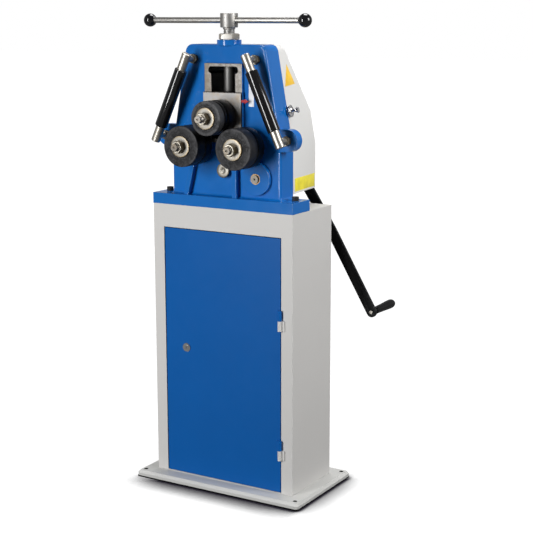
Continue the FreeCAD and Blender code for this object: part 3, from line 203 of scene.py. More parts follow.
def surface(recipe, colour, roughness, metallic, relief, depth, ease=0.0, shine=0.5):
    """The shader at the end; depth is the height of the relief and ease rounds the edges."""
    bump = {"Height": relief, "Distance": depth}
    if ease:
        bump["Normal"] = round_normal(recipe, ease)
    sockets = {"Base Color": colour, "Roughness": roughness, "Metallic": metallic,
               "Normal": recipe.node("ShaderNodeBump", {}, bump), "Specular IOR Level": shine}
    shader = recipe.node("ShaderNodeBsdfPrincipled", {}, sockets)
    recipe.node("ShaderNodeOutputMaterial", {}, {"Surface": shader})
    return recipe.material


def scaled(colour, amount, lift=0.0):
    """A colour made darker or lighter, worked out once in Python."""
    return tuple(min(1, part * amount + lift) for part in colour)


print("shared signals are ready")

# %% [markdown]
# ## Paint
#
# The cabinet, door and cover are sheet under powder coat, which is even, with a pebbled
# skin half a millimetre across. It goes a little lighter along edges, where the coat is
# thin, and carries faint clouds of handling dirt. A picture wrapped round the sheet would
# stretch at the folds; noise on the part's own coordinates has one size everywhere. The
# foot is the same, but its anchor bores are painted near black as shade, and its top is
# painted a little paler, as light from above.

# %% Painted finishes
def paint(name, colour, gloss, peel, peel_depth, edge_light=1.35, uneven=0.06, shine=0.3,
          holes=None):
    """A painted finish; peel is pebbles per metre.

    The last argument is (x, y, radius) of the anchor bores in all four corners, which are
    painted near black as shade. A part that has them is also painted a little paler where it
    looks up, as light from above.
    """
    recipe = Recipe(name)
    cloud = spread(recipe, noise(recipe, 7, 4), 0.3, 0.7)
    speck = spread(recipe, noise(recipe, 160, 2), 0.3, 0.7)
    tone = mix(recipe, cloud * 0.7 + speck * 0.3, scaled(colour, 1 - uneven),
               scaled(colour, 1 + uneven))
    rim = edges(recipe, 0.0016) * spread(recipe, noise(recipe, 240, 3), 0.3, 0.7, 0.25, 0.9)
    tone = mix(recipe, rim, tone, scaled(colour, edge_light, 0.01))
    if holes:
        hole_x, hole_y, radius = holes
        x, y, _ = axes_of(recipe, place_of(recipe))
        across, along = abs(x) - hole_x, abs(y) - hole_y
        off_centre = (across * across + along * along) ** 0.5
        # Painted light: faces that look up are made paler, as light from above would.
        upward = axes_of(recipe, plain_normal(recipe))[2]
        tone = mix(recipe, upward * 0.8, tone, scaled(colour, 1.15))
        # Painted shade: the anchor bores are made near black.
        tone = mix(recipe, below(recipe, off_centre, radius + 0.0002, 0.0002), tone,
                   (0.01, 0.01, 0.01))
    rough = spread(recipe, noise(recipe, 35, 3), 0.3, 0.7, gloss - 0.03, gloss + 0.04)
    return surface(recipe, tone, rough, 0.0, noise(recipe, peel, 2, 0.5), peel_depth, 0.0012, shine)


finishes = {
    "door blue": paint("door blue powder coat", (0.0030, 0.0950, 0.3550), 0.34, 1500, 0.000006,
                       1.5, 0.04, 0.12),
    "cabinet grey": paint("cabinet grey powder coat", (0.60, 0.59, 0.575), 0.4, 1500, 0.000012,
                          1.1, 0.015),
    "foot grey": paint("foot grey powder coat", (0.54, 0.54, 0.525), 0.42, 1400, 0.000015,
                       1.1, 0.02, holes=(0.249, 0.134, 0.006)),
    "cover white": paint("cover pale powder coat", (0.70, 0.695, 0.68), 0.38, 1500, 0.000012,
                         1.08, 0.012),
    "red": paint("pointer red paint", (0.40, 0.010, 0.018), 0.3, 900, 0.00001),
}
print(len(finishes), "paints")

# %% [markdown]
# ## Bare, blackened and plated metal
#
# Turned parts carry rings round their axis, and ground and milled parts carry straight
# strokes. Both come from stretched noise, and both are shallow: a micrometre of relief
# is enough, since bright metal shows every slope. A nut is dull and brown on its flats,
# where the plating is thin and oily, and bright on its turned ends. On the upright nut only
# the flats that face sideways are dulled, which is painted shade; the same mask paints the
# milled block's sides near black as shade, and the knobs' round sides dark as a painted
# reflection of the dim room.

# %% Marks of the tools
def ringed(centre, fine=1400):
    """A lathe's marks: noise over the distance from an axis along Y through (x, z)."""
    def marks(recipe):
        radius, y = distance_from(recipe, centre)
        sockets = {0: radius * fine, 1: y * fine, 2: 0.0}
        vector = recipe.node("ShaderNodeCombineXYZ", {}, sockets)
        return noise(recipe, 1.0, 2, 0.6, vector)
    return marks


def stroked(stretch):
    """Straight strokes: noise stretched along one axis."""
    def marks(recipe):
        sockets = {"Vector": place_of(recipe), "Scale": stretch}
        return noise(recipe, 1.0, 2, 0.6, recipe.node("ShaderNodeMapping", {}, sockets))
    return marks


def grained(scale, detail=3):
    """An even grain; scale is lumps per metre."""
    return lambda recipe: noise(recipe, scale, detail)


print("lathe rings, straight strokes and plain grain are ready")

# %% Metal finishes
OIL_STAIN = (0.24, 0.17, 0.09)
THIN_PLATING = ((0.10, 0.075, 0.035), (0.21, 0.165, 0.10))


def metal(name, colour, gloss, marks, depth=0.0000005, stained=0.3, flats=None,
          brown=THIN_PLATING, darker_below=None, bare=1.0, ring=None):
    """Bare metal with a tool's marks on it.

    flats is an axis letter and how squarely a face looks along it, from bright to dull, and
    brown holds the two colours of the dull faces: thin plating on most finishes, painted
    shade on the upright nut and the milled block, and a painted reflection of the dim room on
    the knobs. darker_below is the height under which the metal is made darker, and bare is
    how metallic it is. ring is a centre and the two radii between which a rim goes brown.
    """
    recipe = Recipe(name)
    relief = marks(recipe)
    cloud = spread(recipe, noise(recipe, 75, 4, 0.65), 0.45, 0.75, 0.0, stained)
    tone = mix(recipe, cloud, colour, OIL_STAIN)
    tone = mix(recipe, spread(recipe, relief, 0.3, 0.7, 0.0, 0.35), tone, scaled(colour, 0.8))
    rough = spread(recipe, relief + noise(recipe, 90, 3), 0.7, 1.3, gloss - 0.03, gloss + 0.05)
    if flats:
        side = spread(recipe, facing(recipe, flats[0]), *flats[1:])
        dull = mix(recipe, spread(recipe, noise(recipe, 220, 3), 0.35, 0.65), *brown)
        tone = mix(recipe, side * 0.9, tone, dull)
    if ring:
        centre, start, end = ring
        old = spread(recipe, distance_from(recipe, centre)[0], start, end)
        patch = spread(recipe, noise(recipe, 60, 4, 0.7), 0.35, 0.6, 0.35, 1.0)
        tone = mix(recipe, old * patch, tone, brown[1])
    if darker_below:
        height = axes_of(recipe, place_of(recipe))[2]
        under = spread(recipe, height, darker_below + 0.002, darker_below - 0.002)
        tone = mix(recipe, under, tone, scaled(colour, 0.5))
    return surface(recipe, tone, rough, bare, relief, depth)


def blackened(name, marks, face=(0.020, 0.020, 0.021), side=(0.020, 0.020, 0.021), gloss=0.5,
              rim_at=None):
    """Blackened steel: ends worn to charcoal, most at the rim (x, z, radius), and dark sides."""
    recipe = Recipe(name)
    grain = marks(recipe)
    grit = noise(recipe, 420, 4, 0.75)
    worn = spread(recipe, noise(recipe, 48, 5, 0.75), 0.4, 0.6)
    specks = spread(recipe, noise(recipe, 210, 3, 0.75), 0.5, 0.6, 0, 0.75)
    flat = mix(recipe, worn, scaled(face, 0.35), scaled(face, 1.7))
    flat = mix(recipe, specks, flat, scaled(face, 3.4))
    flat = mix(recipe, spread(recipe, grain, 0.45, 0.6, 0.0, 0.75), flat, scaled(face, 0.3))
    if rim_at:
        x, z, radius = rim_at
        out = distance_from(recipe, (x, z))[0]
        near = spread(recipe, out, radius - 0.011, radius - 0.003)
        near = near * spread(recipe, worn + grain, 0.6, 1.1, 0.2, 0.9)
        flat = mix(recipe, near, flat, scaled(face, 3.0))
    end = spread(recipe, facing(recipe, "Y"), 0.5, 0.85)
    tone = mix(recipe, end, mix(recipe, worn, side, scaled(side, 1.6)), flat)
    rim = edges(recipe, 0.0012) * spread(recipe, noise(recipe, 150, 3), 0.35, 0.7, 0.0, 0.3)
    tone = mix(recipe, rim, tone, scaled(face, 2.0))
    rough = spread(recipe, grit, 0.35, 0.65, gloss - 0.08, gloss + 0.1)
    return surface(recipe, tone, rough, 0.3, grain + grit * 0.6, 0.000012, shine=0.15)


AXES = {"left": (-0.0825, 0.968), "right": (0.0825, 0.968), "upper": (0.0, 1.046),
        "idler": (0.0, 0.90065), "crank": (0.1005, 0.88288)}
WASHER_RIM = (0.0245, 0.0275)
for key, centre in AXES.items():
    finishes[key + " turned"] = metal(
        key + " turned steel", (0.26, 0.25, 0.225), 0.45, ringed(centre), stained=0.5,
        flats=("Y", 0.95, 0.8), brown=((0.12, 0.085, 0.04), (0.24, 0.18, 0.10)),
        ring=(centre, *WASHER_RIM))
    stub_colour = (0.22, 0.21, 0.195) if key in ("idler", "upper") else (0.15, 0.14, 0.125)
    finishes[key + " stub"] = metal(key + " stub steel", stub_colour, 0.42, ringed(centre),
                                    stained=0.7)
for key, radius, face, side in (
        ("upper", 0.046, (0.024, 0.024, 0.025), (0.034, 0.034, 0.035)),
        ("left", 0.055, (0.017, 0.017, 0.018), (0.016, 0.016, 0.017)),
        ("right", 0.055, (0.017, 0.017, 0.018), (0.016, 0.016, 0.017))):
    marks = ringed(AXES[key], 260)
    finishes[key + " oxide"] = blackened(key + " blackened steel", marks, face, side,
                                         rim_at=(*AXES[key], radius))
    # Painted shade: the discs behind the front one take a near-black copy of the oxide.
    finishes[key + " rear oxide"] = blackened(key + " rear oxide", marks,
                                              side=(0.0016, 0.0016, 0.0024), gloss=0.34)
finishes["black bolts"] = blackened("black bolt steel", grained(900, 2))
finishes["drawn steel"] = metal("drawn bar steel", (0.43, 0.42, 0.40), 0.36,
                                stroked((25, 1500, 1500)))
finishes["bar steel"] = metal("guide bar steel", (0.42, 0.40, 0.36), 0.4, stroked((40, 40, 300)),
                              depth=0.0)
finishes["screw steel"] = metal("turned screw steel", (0.33, 0.325, 0.315), 0.5,
                                stroked((60, 60, 1500)), darker_below=1.24)
# Painted shade: the block's faces that don't look to the front are made near black.
finishes["milled steel"] = metal(
    "milled block steel", (0.235, 0.23, 0.225), 0.45, stroked((1300, 1300, 60)), depth=0.000002,
    stained=0.75, flats=("Y", 0.3, 0.1), brown=((0.015, 0.014, 0.013), (0.05, 0.045, 0.04)))
# Painted shade: the nut's flats that face sideways are made duller and browner.
finishes["upright nut"] = metal(
    "upright nut steel", (0.60, 0.575, 0.53), 0.35, grained(900), flats=("X", 0.45, 0.6),
    brown=((0.26, 0.225, 0.175), (0.42, 0.385, 0.33)), bare=0.35)
finishes["roll nut"] = metal("roll nut steel", (0.40, 0.375, 0.32), 0.38, grained(900),
                             flats=("Y", 0.3, 0.1))
finishes["bronze"] = metal("bush bronze", (0.24, 0.16, 0.085), 0.4, grained(1200))
finishes["chrome"] = metal("plated lock", (0.62, 0.62, 0.62), 0.16, grained(500, 2), stained=0.03)
# Painted reflection: the round sides of each knob are made dark, as the dim room would show in
# them.
finishes["knob chrome"] = metal(
    "knob chrome", (0.66, 0.66, 0.67), 0.14, grained(500, 2), stained=0.03,
    flats=("X", 0.3, 0.1), brown=((0.03, 0.03, 0.032), (0.16, 0.16, 0.165)))
print(len(finishes), "finishes")

# %% [markdown]
# ## Plastic and rubber
#
# The ball knobs are moulded and polished, the sleeves are polished black tube, the grip
# is smooth plastic and the arm has the same black, the mat is dull rubber, and the scale
# strip is a matt film. No tool has marked them, so one recipe serves them all.

# %% Moulded finishes
def moulded(name, colour, gloss, grain, depth, lighter=0.02, shine=0.5):
    """A moulded plastic or rubber, lighter with dust on its edges; grain is lumps per metre."""
    recipe = Recipe(name)
    cloud = spread(recipe, noise(recipe, 40, 3), 0.3, 0.7)
    tone = mix(recipe, cloud, colour, scaled(colour, 1.4, 0.001))
    dust = edges(recipe, 0.001) * spread(recipe, noise(recipe, 400, 3), 0.4, 0.7)
    tone = mix(recipe, dust * 0.5, tone, scaled(colour, 1.0, lighter))
    rough = spread(recipe, noise(recipe, 120, 4), 0.3, 0.7, gloss - 0.02, gloss + 0.04)
    relief = noise(recipe, grain, 3, 0.6)
    return surface(recipe, tone, rough, 0.0, relief, depth, shine=shine)


for name, *recipe_values in (
        ("ball plastic", (0.004, 0.004, 0.005), 0.07, 250, 0.000002),
        ("sleeve plastic", (0.004, 0.004, 0.0045), 0.12, 300, 0.0000001),
        ("grip plastic", (0.003, 0.003, 0.0035), 0.32, 900, 0.000005, 0.02, 0.16),
        ("arm paint", (0.003, 0.0032, 0.0038), 0.32, 700, 0.000006, 0.02, 0.16),
        ("mat rubber", (0.003, 0.003, 0.003), 0.8, 1100, 0.00008, 0.002, 0.05),
        ("strip film", (0.60, 0.62, 0.66), 0.45, 800, 0.000005),
        ("yellow film", (0.72, 0.62, 0.035), 0.3, 500, 0.000004, 0.05),
        ("amber film", (0.83, 0.47, 0.02), 0.3, 500, 0.000004, 0.05)):
    finishes[name] = moulded(name, *recipe_values)
print("mouldings and films are ready")

# %% [markdown]
# ## The frame's own finish
#
# The frame is a casting under thick gloss paint: the skin of the sand shows as slow
# waves and a fine orange peel. The slide pad is milled bare, and the inside of the
# window is painted near black as shade. The casting could be cut up, with a finish for each
# place, but it is one measured part and keeps its shape. The finish is therefore paint with
# two measured places in it: the pad's front, which is one depth of the surface, and the
# window behind it.

# %% Frame finish
CAST_BLUE = (0.0050, 0.1300, 0.4500)
EDGE_BLUE = (0.035, 0.20, 0.52)
WINDOW_PAINTED_SHADE = (0.006, 0.006, 0.007)


def milled_pad(recipe, x):
    """The colour of the bare pad, browner towards its left side."""
    blotches = spread(recipe, noise(recipe, 90, 5, 0.7), 0.4, 0.62)
    steel = mix(recipe, blotches, (0.24, 0.228, 0.215), (0.13, 0.117, 0.10))
    left = spread(recipe, x, -0.030, -0.056)
    left = left * spread(recipe, noise(recipe, 60, 4), 0.3, 0.6, 0.35, 1.0)
    return mix(recipe, left * 0.8, steel, (0.16, 0.125, 0.09))


def frame_finish():
    """Gloss paint, with the pad's front bare and the window painted near black as shade."""
    recipe = Recipe("cast frame")
    x, y, z = axes_of(recipe, place_of(recipe))
    off_middle = abs(x)
    bare = above(recipe, y, -0.0912) * below(recipe, y, -0.0894) \
        * below(recipe, off_middle, 0.0596) \
        * above(recipe, z, 0.974, 0.001) * below(recipe, z, 1.1866)
    slot = below(recipe, off_middle, 0.0386) * above(recipe, z, 0.984, 0.0005)
    corners = below(recipe, off_middle, 0.0480) * above(recipe, z, 1.1580)
    window = slot.most(corners) * below(recipe, z, 1.1792) * above(recipe, y, -0.0900)
    cloud = spread(recipe, noise(recipe, 7, 4), 0.3, 0.7)
    tone = mix(recipe, cloud, scaled(CAST_BLUE, 0.94), scaled(CAST_BLUE, 1.06))
    rim = edges(recipe, 0.0026) * spread(recipe, noise(recipe, 200, 3), 0.3, 0.7, 0.2, 0.7)
    tone = mix(recipe, rim, tone, EDGE_BLUE)
    tone = mix(recipe, bare, tone, milled_pad(recipe, x))
    # Painted shade: the walls inside the window are made near black.
    tone = mix(recipe, window, tone, WINDOW_PAINTED_SHADE)
    rough = spread(recipe, noise(recipe, 35, 3), 0.3, 0.7, 0.13, 0.19) + (bare + window) * 0.24
    peel = noise(recipe, 420, 2, 0.5) + noise(recipe, 45, 2, 0.5) * 8
    strokes = stroked((1300, 1300, 60))(recipe)
    relief = peel * (1 - bare) + strokes * bare * 0.1
    return surface(recipe, tone, rough, bare * 0.6, relief, 0.000015, 0.0026, 0.4)


finishes["cast frame"] = frame_finish()
print("the frame has its own finish")

# %% [markdown]
# ## Which part gets which finish
#
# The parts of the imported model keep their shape, so a finish is all they need. Most are
# named one by one. What turns on an axis takes the finish that is centred there, and the
# first word of its name says which one.

# %% Assign the finishes
FINISH_OF = {
    "foot_mat": "mat rubber", "foot_plate": "foot grey", "cabinet_shell": "cabinet grey",
    "cabinet_knuckles": "cabinet grey", "door_panel": "door blue", "door_knuckles": "door blue",
    "lock_body": "chrome", "lock_barrel": "chrome", "roller_frame": "cast frame",
    "bed_bolts": "black bolts", "bed_nuts": "upright nut", "screw_nut": "upright nut",
    "pressure_screw": "screw steel", "tommy_bar": "drawn steel", "ball_knobs": "ball plastic",
    "slide_block": "milled steel", "keeper_plate": "milled steel", "keeper_screws": "black bolts",
    "pointer": "red", "scale_strip": "strip film", "guide_bars": "bar steel",
    "guide_studs": "bar steel", "guide_nuts": "roll nut", "left_sleeve": "sleeve plastic",
    "right_sleeve": "sleeve plastic", "idler_axle": "idler stub", "idler_gear": "idler turned",
    "crank_shaft": "crank stub", "crank_bushes": "bronze", "lower_shaft_bushes": "bronze",
    "upper_shaft_bushes": "bronze", "crank_arm": "arm paint", "crank_screw": "crank turned",
    "grip_bolt": "bar steel", "crank_grip": "grip plastic", "gear_cover": "cover white",
    "cover_knobs": "knob chrome", "left_nut": "roll nut", "right_nut": "roll nut",
    "upper_nut": "roll nut",
}


def give_finish(piece, name):
    """Put one finish in all of a piece's slots."""
    piece.data.materials.clear()
    piece.data.materials.append(finishes[name])


for node_name, piece in nodes.items():
    on_axis = node_name.split("_")[0] + (" oxide" if node_name.endswith("_roll") else " turned")
    give_finish(piece, FINISH_OF.get(node_name, on_axis))
print(len(nodes), "parts have a finish")

# %% [markdown]
# ## Modelling by hand
#
# Most parts of the head are turned on a lathe. By hand that is one vertex, extruded
# step by step into half of the part's section, and then spun about the axis. The ends
# close onto the axis when doubles are merged, the normals are made to agree, and a small
# bevel eases the corners as a file would. Sections are in millimetres, measured back
# from the cabinet's front.

# %% Helpers for pieces
FRONT = -0.10675
SMOOTH = math.radians(32)


def line(name, origin, points):
    """A line of vertices through points, drawn by extruding one vertex; left in edit mode."""
    bpy.ops.mesh.primitive_plane_add(size=0.01, location=origin)
    piece = bpy.context.object
    piece.name = name
    bpy.ops.object.mode_set(mode="EDIT")
    bpy.ops.mesh.select_mode(type="VERT")
    bpy.ops.mesh.select_all(action="SELECT")
    bpy.ops.mesh.merge(type="CENTER")
    bpy.ops.transform.translate(value=Vector(points[0]) - Vector(origin))
    for before, after in zip(points, points[1:]):
        step = Vector(after) - Vector(before)
        bpy.ops.mesh.extrude_region_move(TRANSFORM_OT_translate={"value": step})
    bpy.ops.mesh.select_all(action="SELECT")
    return piece


def spun(name, base, axis, outline, steps=72, closed=False):
    """Turn an outline of (distance, radius) in millimetres about an axis."""
    base, axis = Vector(base), Vector(axis).normalized()
    side = axis.orthogonal().normalized()
    outline = list(outline) + ([outline[0]] if closed else [])
    points = [base + axis * along / 1000 + side * radius / 1000 for along, radius in outline]
    piece = line(name, base, points)
    bpy.ops.mesh.spin(steps=steps, angle=2 * math.pi, center=base, axis=axis)
    bpy.ops.mesh.select_all(action="SELECT")
    bpy.ops.mesh.remove_doubles(threshold=0.000004)
    bpy.ops.mesh.normals_make_consistent(inside=False)
    bpy.ops.object.mode_set(mode="OBJECT")
    return piece


def ease(piece, width, segments, angle):
    """Round the sharp edges of a piece by a small width."""
    bevel = piece.modifiers.new("eased", "BEVEL")
    bevel.width = width
    bevel.segments = segments
    bevel.limit_method = "ANGLE"
    bevel.angle_limit = math.radians(angle)
    bpy.ops.object.modifier_apply(modifier=bevel.name)


def keep(piece, body, finish, node=None, width=0.0, segments=2, angle=35):
    """Finish a piece: fix its place, ease it, hand it to its body, and hide the imported part it
    stands for.
    """
    if piece.mode == "EDIT":
        bpy.ops.object.mode_set(mode="OBJECT")
    bpy.ops.object.select_all(action="DESELECT")
    piece.select_set(True)
    bpy.context.view_layer.objects.active = piece
    bpy.ops.object.transform_apply(location=True, rotation=True, scale=True)
    if width:
        ease(piece, width, segments, angle)
    bpy.ops.object.shade_smooth_by_angle(angle=SMOOTH)
    give_finish(piece, finish)
    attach(piece, body)
    if node:
        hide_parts(node)
    return piece


def turned(name, axis, outline, body, finish, node, width=0.00035, closed=True, steps=96):
    """A piece turned about an axis along Y at (x, z) in metres."""
    x, z = axis
    piece = spun(name, (x, FRONT, z), (0, 1, 0), outline, steps, closed)
    return keep(piece, body, finish, node, width)


print("lathe is ready")

# %% [markdown]
# ## Rolls, washers and shafts
#
# The rolls are blackened discs with a narrow chamfer on each rim and grooves between
# them, where round bar would run. Each stack is clamped by a bright washer and a thick
# nut on a threaded stub, and the end of each shaft keeps the lathe's centre hole. A
# cylinder would need a cut and a bevel for every groove; a spun section has them all.
# The discs behind the front one are painted near black, as the shade they stand in.

# %% Turned stacks
upper_discs = (
    ("front", "oxide", [(-70, 12.5), (-70, 44.8), (-68.8, 46), (-49, 46), (-48, 45), (-48, 38),
                        (-46, 38), (-46, 12.5)]),
    ("middle", "rear oxide", [(-46, 12.5), (-46, 38), (-44, 38), (-44, 45), (-43, 46), (-35, 46),
                              (-34, 45), (-34, 38), (-31, 38), (-31, 12.5)]),
    ("rear", "rear oxide", [(-31, 12.5), (-31, 38), (-28, 38), (-28, 44), (-26, 46), (2, 46),
                            (4, 44), (4, 12.5)]),
)
lower_discs = (
    ("front", "oxide", [(-67, 14), (-67, 53.8), (-65.8, 55), (-31.4, 55), (-30, 53.6), (-30, 47),
                        (-28.5, 47), (-28.5, 14)]),
    ("rear", "rear oxide", [(-28.5, 14), (-28.5, 47), (-27, 47), (-27, 53.6), (-25.6, 55),
                            (2, 55), (4, 53), (4, 14)]),
)
for key, discs in (("upper", upper_discs), ("left", lower_discs), ("right", lower_discs)):
    for part, look, outline in discs:
        turned(f"{key}_{part}_disc", AXES[key], outline, key + "_roll", f"{key} {look}",
               f"{key}_{part}_roll")
print("seven discs")

# %% Washers and shafts
ROLL_FACES = {"upper": (-70, 10.5), "left": (-67, 11), "right": (-67, 11)}
WASHER, WASHER_RADIUS = 4, 29
for key, (face, stub) in ROLL_FACES.items():
    outline = [(face - WASHER, stub), (face - WASHER, 28.1), (face - 3.1, WASHER_RADIUS),
               (face - 0.8, WASHER_RADIUS), (face, 28.2), (face, stub)]
    turned(key + "_clamp_washer", AXES[key], outline, key + "_roll", key + " turned",
           key + "_washer", 0.00025)


def stub_ridges(start, end, radius, pitch=1.5, depth=0.35, plain=4):
    """The section of a threaded stub as fine ridges behind a plain end."""
    points = [(start, radius - depth), (start + plain, radius - depth)]
    for number in range(int((end - start - plain) / pitch)):
        points += [(start + plain + number * pitch, radius - depth),
                   (start + plain + (number + 0.5) * pitch, radius)]
    return points + [(end, radius - depth)]


upper_spindle = [(-105, 0), (-107, 1.6), (-108, 3), (-108, 9.2)] + stub_ridges(-107, -93, 10.5) \
    + [(-69, 9.8), (-69, 12.5), (4, 12.5), (4, 18), (9.5, 18), (9.5, 12.5), (96.4, 12.5),
       (96.4, 11.5), (97.6, 11.5), (97.6, 12.5), (100.4, 12.5), (100.9, 12), (100.9, 0)]
lower_spindle = [(-96, 0), (-98, 1.6), (-99, 3), (-99, 9.7)] + stub_ridges(-98, -90, 11) \
    + [(-66, 10.3), (-66, 14), (4, 14), (4, 20), (9.5, 20), (9.5, 15), (90.5, 15), (90.5, 14),
       (132.1, 14), (132.1, 13), (133.3, 13), (133.3, 14), (136.1, 14), (136.6, 13.5), (136.6, 0)]
for key, outline in (("upper", upper_spindle), ("left", lower_spindle), ("right", lower_spindle)):
    turned(key + "_spindle", AXES[key], outline, key + "_roll", key + " stub", key + "_shaft",
           0.0, closed=False, steps=64)
print("washers and spindles")

# %% [markdown]
# ## Nuts
#
# A hexagon nut is a six-sided block whose corners the lathe has cut back at both ends. A
# bevel would cut them straight. The block is therefore a cylinder with six sides, and a
# Boolean keeps what it shares with a spun double cone. A second Boolean bores it.

# %% Hexagon nuts
def meet(piece, other, operation):
    """Apply one Boolean and drop the other piece."""
    bpy.ops.object.select_all(action="DESELECT")
    bpy.context.view_layer.objects.active = piece
    piece.select_set(True)
    cutter = piece.modifiers.new("cut", "BOOLEAN")
    cutter.operation = operation
    cutter.solver = "EXACT"
    cutter.object = other
    bpy.ops.object.modifier_apply(modifier=cutter.name)
    bpy.data.objects.remove(other)


def drill(piece, centre, radius, depth, rotation, sides=64):
    """Bore a round hole, centred on a point, along a cylinder's turned axis; in metres."""
    bpy.ops.mesh.primitive_cylinder_add(vertices=sides, radius=radius, depth=depth,
                                        location=centre, rotation=rotation)
    meet(piece, bpy.context.object, "DIFFERENCE")


def hexagon(name, base, axis, flats, height, bore, crown=0.485, turn=0.0):
    """One nut, its near end at base; sizes in millimetres, crown as a share of the flats."""
    base, axis = Vector(base), Vector(axis)
    corner = flats / math.sqrt(3)
    inner = flats * crown
    depth = (corner - inner) * 0.62
    wide = corner + 0.05
    outline = [(0, 0), (0, inner), (depth, wide), (height - depth, wide), (height, inner),
               (height, 0)]
    crown_piece = spun(name + "_crown", base, axis, outline)
    middle = base + axis * height / 2000
    rotation = axis.to_track_quat("Z", "X").to_euler()
    bpy.ops.mesh.primitive_cylinder_add(vertices=6, radius=corner / 1000,
                                        depth=height / 1000 + 0.0004, location=middle,
                                        rotation=rotation)
    piece = bpy.context.object
    piece.name = name
    piece.rotation_euler.rotate_axis("Z", math.radians(turn))
    meet(piece, crown_piece, "INTERSECT")
    drill(piece, middle, bore / 1000, height / 1000 + 0.004, rotation, 48)
    return piece


def gather(name, pieces):
    """Join several pieces into one."""
    bpy.ops.object.select_all(action="DESELECT")
    for part in pieces:
        part.select_set(True)
    bpy.context.view_layer.objects.active = pieces[0]
    bpy.ops.object.join()
    pieces[0].name = name
    return pieces[0]


SCREW_Y = FRONT + 0.0485
STUDS = ((97.43, 1197.39), (192.54, 988.2))
CLAMP_NUT = 18
NUT_TURNS = {"upper": 0, "left": 12, "right": 25}
for key, (face, stub) in ROLL_FACES.items():
    x, z = AXES[key]
    base = (x, FRONT + (face - WASHER - CLAMP_NUT) / 1000, z)
    nut = hexagon(key + "_clamp_nut", base, (0, 1, 0), 30, CLAMP_NUT, stub - 0.1,
                  turn=NUT_TURNS[key])
    keep(nut, key + "_roll", "roll nut", key + "_nut", 0.0003, angle=25)
screw_nut = hexagon("top_nut", (0, SCREW_Y, 1.2477), (0, 0, 1), 50, 16.8, 15.05, turn=-13)
shank = spun("shank", (0, SCREW_Y, 0), (0, 0, 1),
             [(1179, 15.05), (1179, 20), (1247.8, 20), (1247.8, 15.05)], 48, True)
keep(gather("top_nut", [screw_nut, shank]), "stand", "upright nut", "screw_nut", 0.0003, angle=25)
stud_nuts = [hexagon("stud_nut", (side * x / 1000, FRONT + 0.013, z / 1000), (0, 1, 0), 24, 12,
                     7.9, 0.47, x / 7)
             for side in (-1, 1) for x, z in STUDS]
keep(gather("stud_nuts", stud_nuts), "stand", "roll nut", "guide_nuts", 0.00025, angle=25)
print("eight nuts")

# %% [markdown]
# ## Guide bars and their sleeves
#
# Two bars lean inwards in front of the frame. They are cold-drawn steel with broken
# edges, and a length of polished black tube turns on each, so the ring that is being
# bent rolls along it. The studs that hold the bars enter them from behind. Each piece is
# spun about its own leaning axis, so none has to be turned into place afterwards.

# %% Bars and sleeves
TILT = math.radians(24.45)
BAR_OUTLINE = [(0, 0), (0, 11), (0.4, 11.9), (1.3, 12.5), (259.7, 12.5), (260.6, 11.9),
               (261, 11), (261, 0)]
SLEEVE_OUTLINE = [(46.1, 12.55), (46.1, 16.2), (46.9, 17), (212.6, 17), (213.4, 16.2),
                  (213.4, 12.55)]
STUD_DEPTHS = (60, 53)
bars, studs = [], []
for key, side in (("left", -1), ("right", 1)):
    foot = (side * 0.199, FRONT - 0.0195, 0.974)
    lean = (-side * math.sin(TILT), 0, math.cos(TILT))
    bars.append(spun("bar", foot, lean, BAR_OUTLINE))
    sleeve = spun(key + "_tube", foot, lean, SLEEVE_OUTLINE, closed=True)
    keep(sleeve, key + "_guide", "sleeve plastic", key + "_sleeve", 0.0003)
    for (x, z), depth in zip(STUDS, STUD_DEPTHS):
        studs.append(spun("stud", (side * x / 1000, FRONT, z / 1000), (0, 1, 0),
                          [(-19, 0), (-19, 8), (depth, 8), (depth, 0)], 40))
keep(gather("leaning_bars", bars), "stand", "bar steel", "guide_bars")
keep(gather("bar_studs", studs), "stand", "bar steel", "guide_studs")
print("two bars, two sleeves, four studs")

# %% [markdown]
# ## The pressure screw and its bar
#
# The screw ends in a stout head with a cross hole. The tommy bar slides in the hole, and
# a moulded ball is pressed on each end. A ready-made sphere has no mouth for the bar, so
# a ball is an arc spun about the bar, with a small flat where the bar enters.

# %% Screw, bar and balls
BAR_Z = 1.299
ALONG_X = (0, math.pi / 2, 0)
screw = spun("screw_and_head", (0, SCREW_Y, 0), (0, 0, 1), [
    (1092.8, 0), (1092.8, 16), (1093.8, 17), (1101.8, 17), (1102.8, 16), (1102.8, 10),
    (1111.5, 10), (1111.5, 15), (1266, 15), (1266.8, 14.2), (1268.4, 14.2), (1269.4, 15),
    (1271, 15), (1271.8, 14.2), (1274.6, 14.2), (1275.6, 16.5), (1280, 16.5), (1280, 22.5),
    (1281.2, 23.7), (1317, 23.7), (1317.6, 23), (1317.6, 0)], 96)
drill(screw, (0, SCREW_Y, BAR_Z), 0.00805, 0.06, ALONG_X)
keep(screw, "screw", "screw steel", "pressure_screw", 0.00035)
bar = spun("cross_bar", (0, SCREW_Y, BAR_Z), (1, 0, 0), [
    (-265.9, 0), (-265.9, 7), (-264.9, 8), (238.4, 8), (239.4, 7), (239.4, 0)], 64)
keep(bar, "bar", "drawn steel", "tommy_bar")
BALL, FACETS = 18, 32
ARC = math.pi - math.radians(24)
balls = []
for centre, sense in ((-258.7, 1), (232.2, -1)):
    arc = []
    for step in range(FACETS + 1):
        turn = ARC - ARC * step / FACETS
        arc.append((centre - sense * BALL * math.cos(turn), BALL * math.sin(turn)))
    mouth = arc[0][0]
    start = centre - sense * 7.2
    outline = [(start, 0), (start, 8), (mouth, 8.0), (mouth + sense * 0.4, 9.2)] + arc[2:]
    balls.append(spun("ball", (0, SCREW_Y, BAR_Z), (1, 0, 0), outline))
keep(gather("pressed_balls", balls), "bar", "ball plastic", "ball_knobs")
print("screw, bar and two balls")

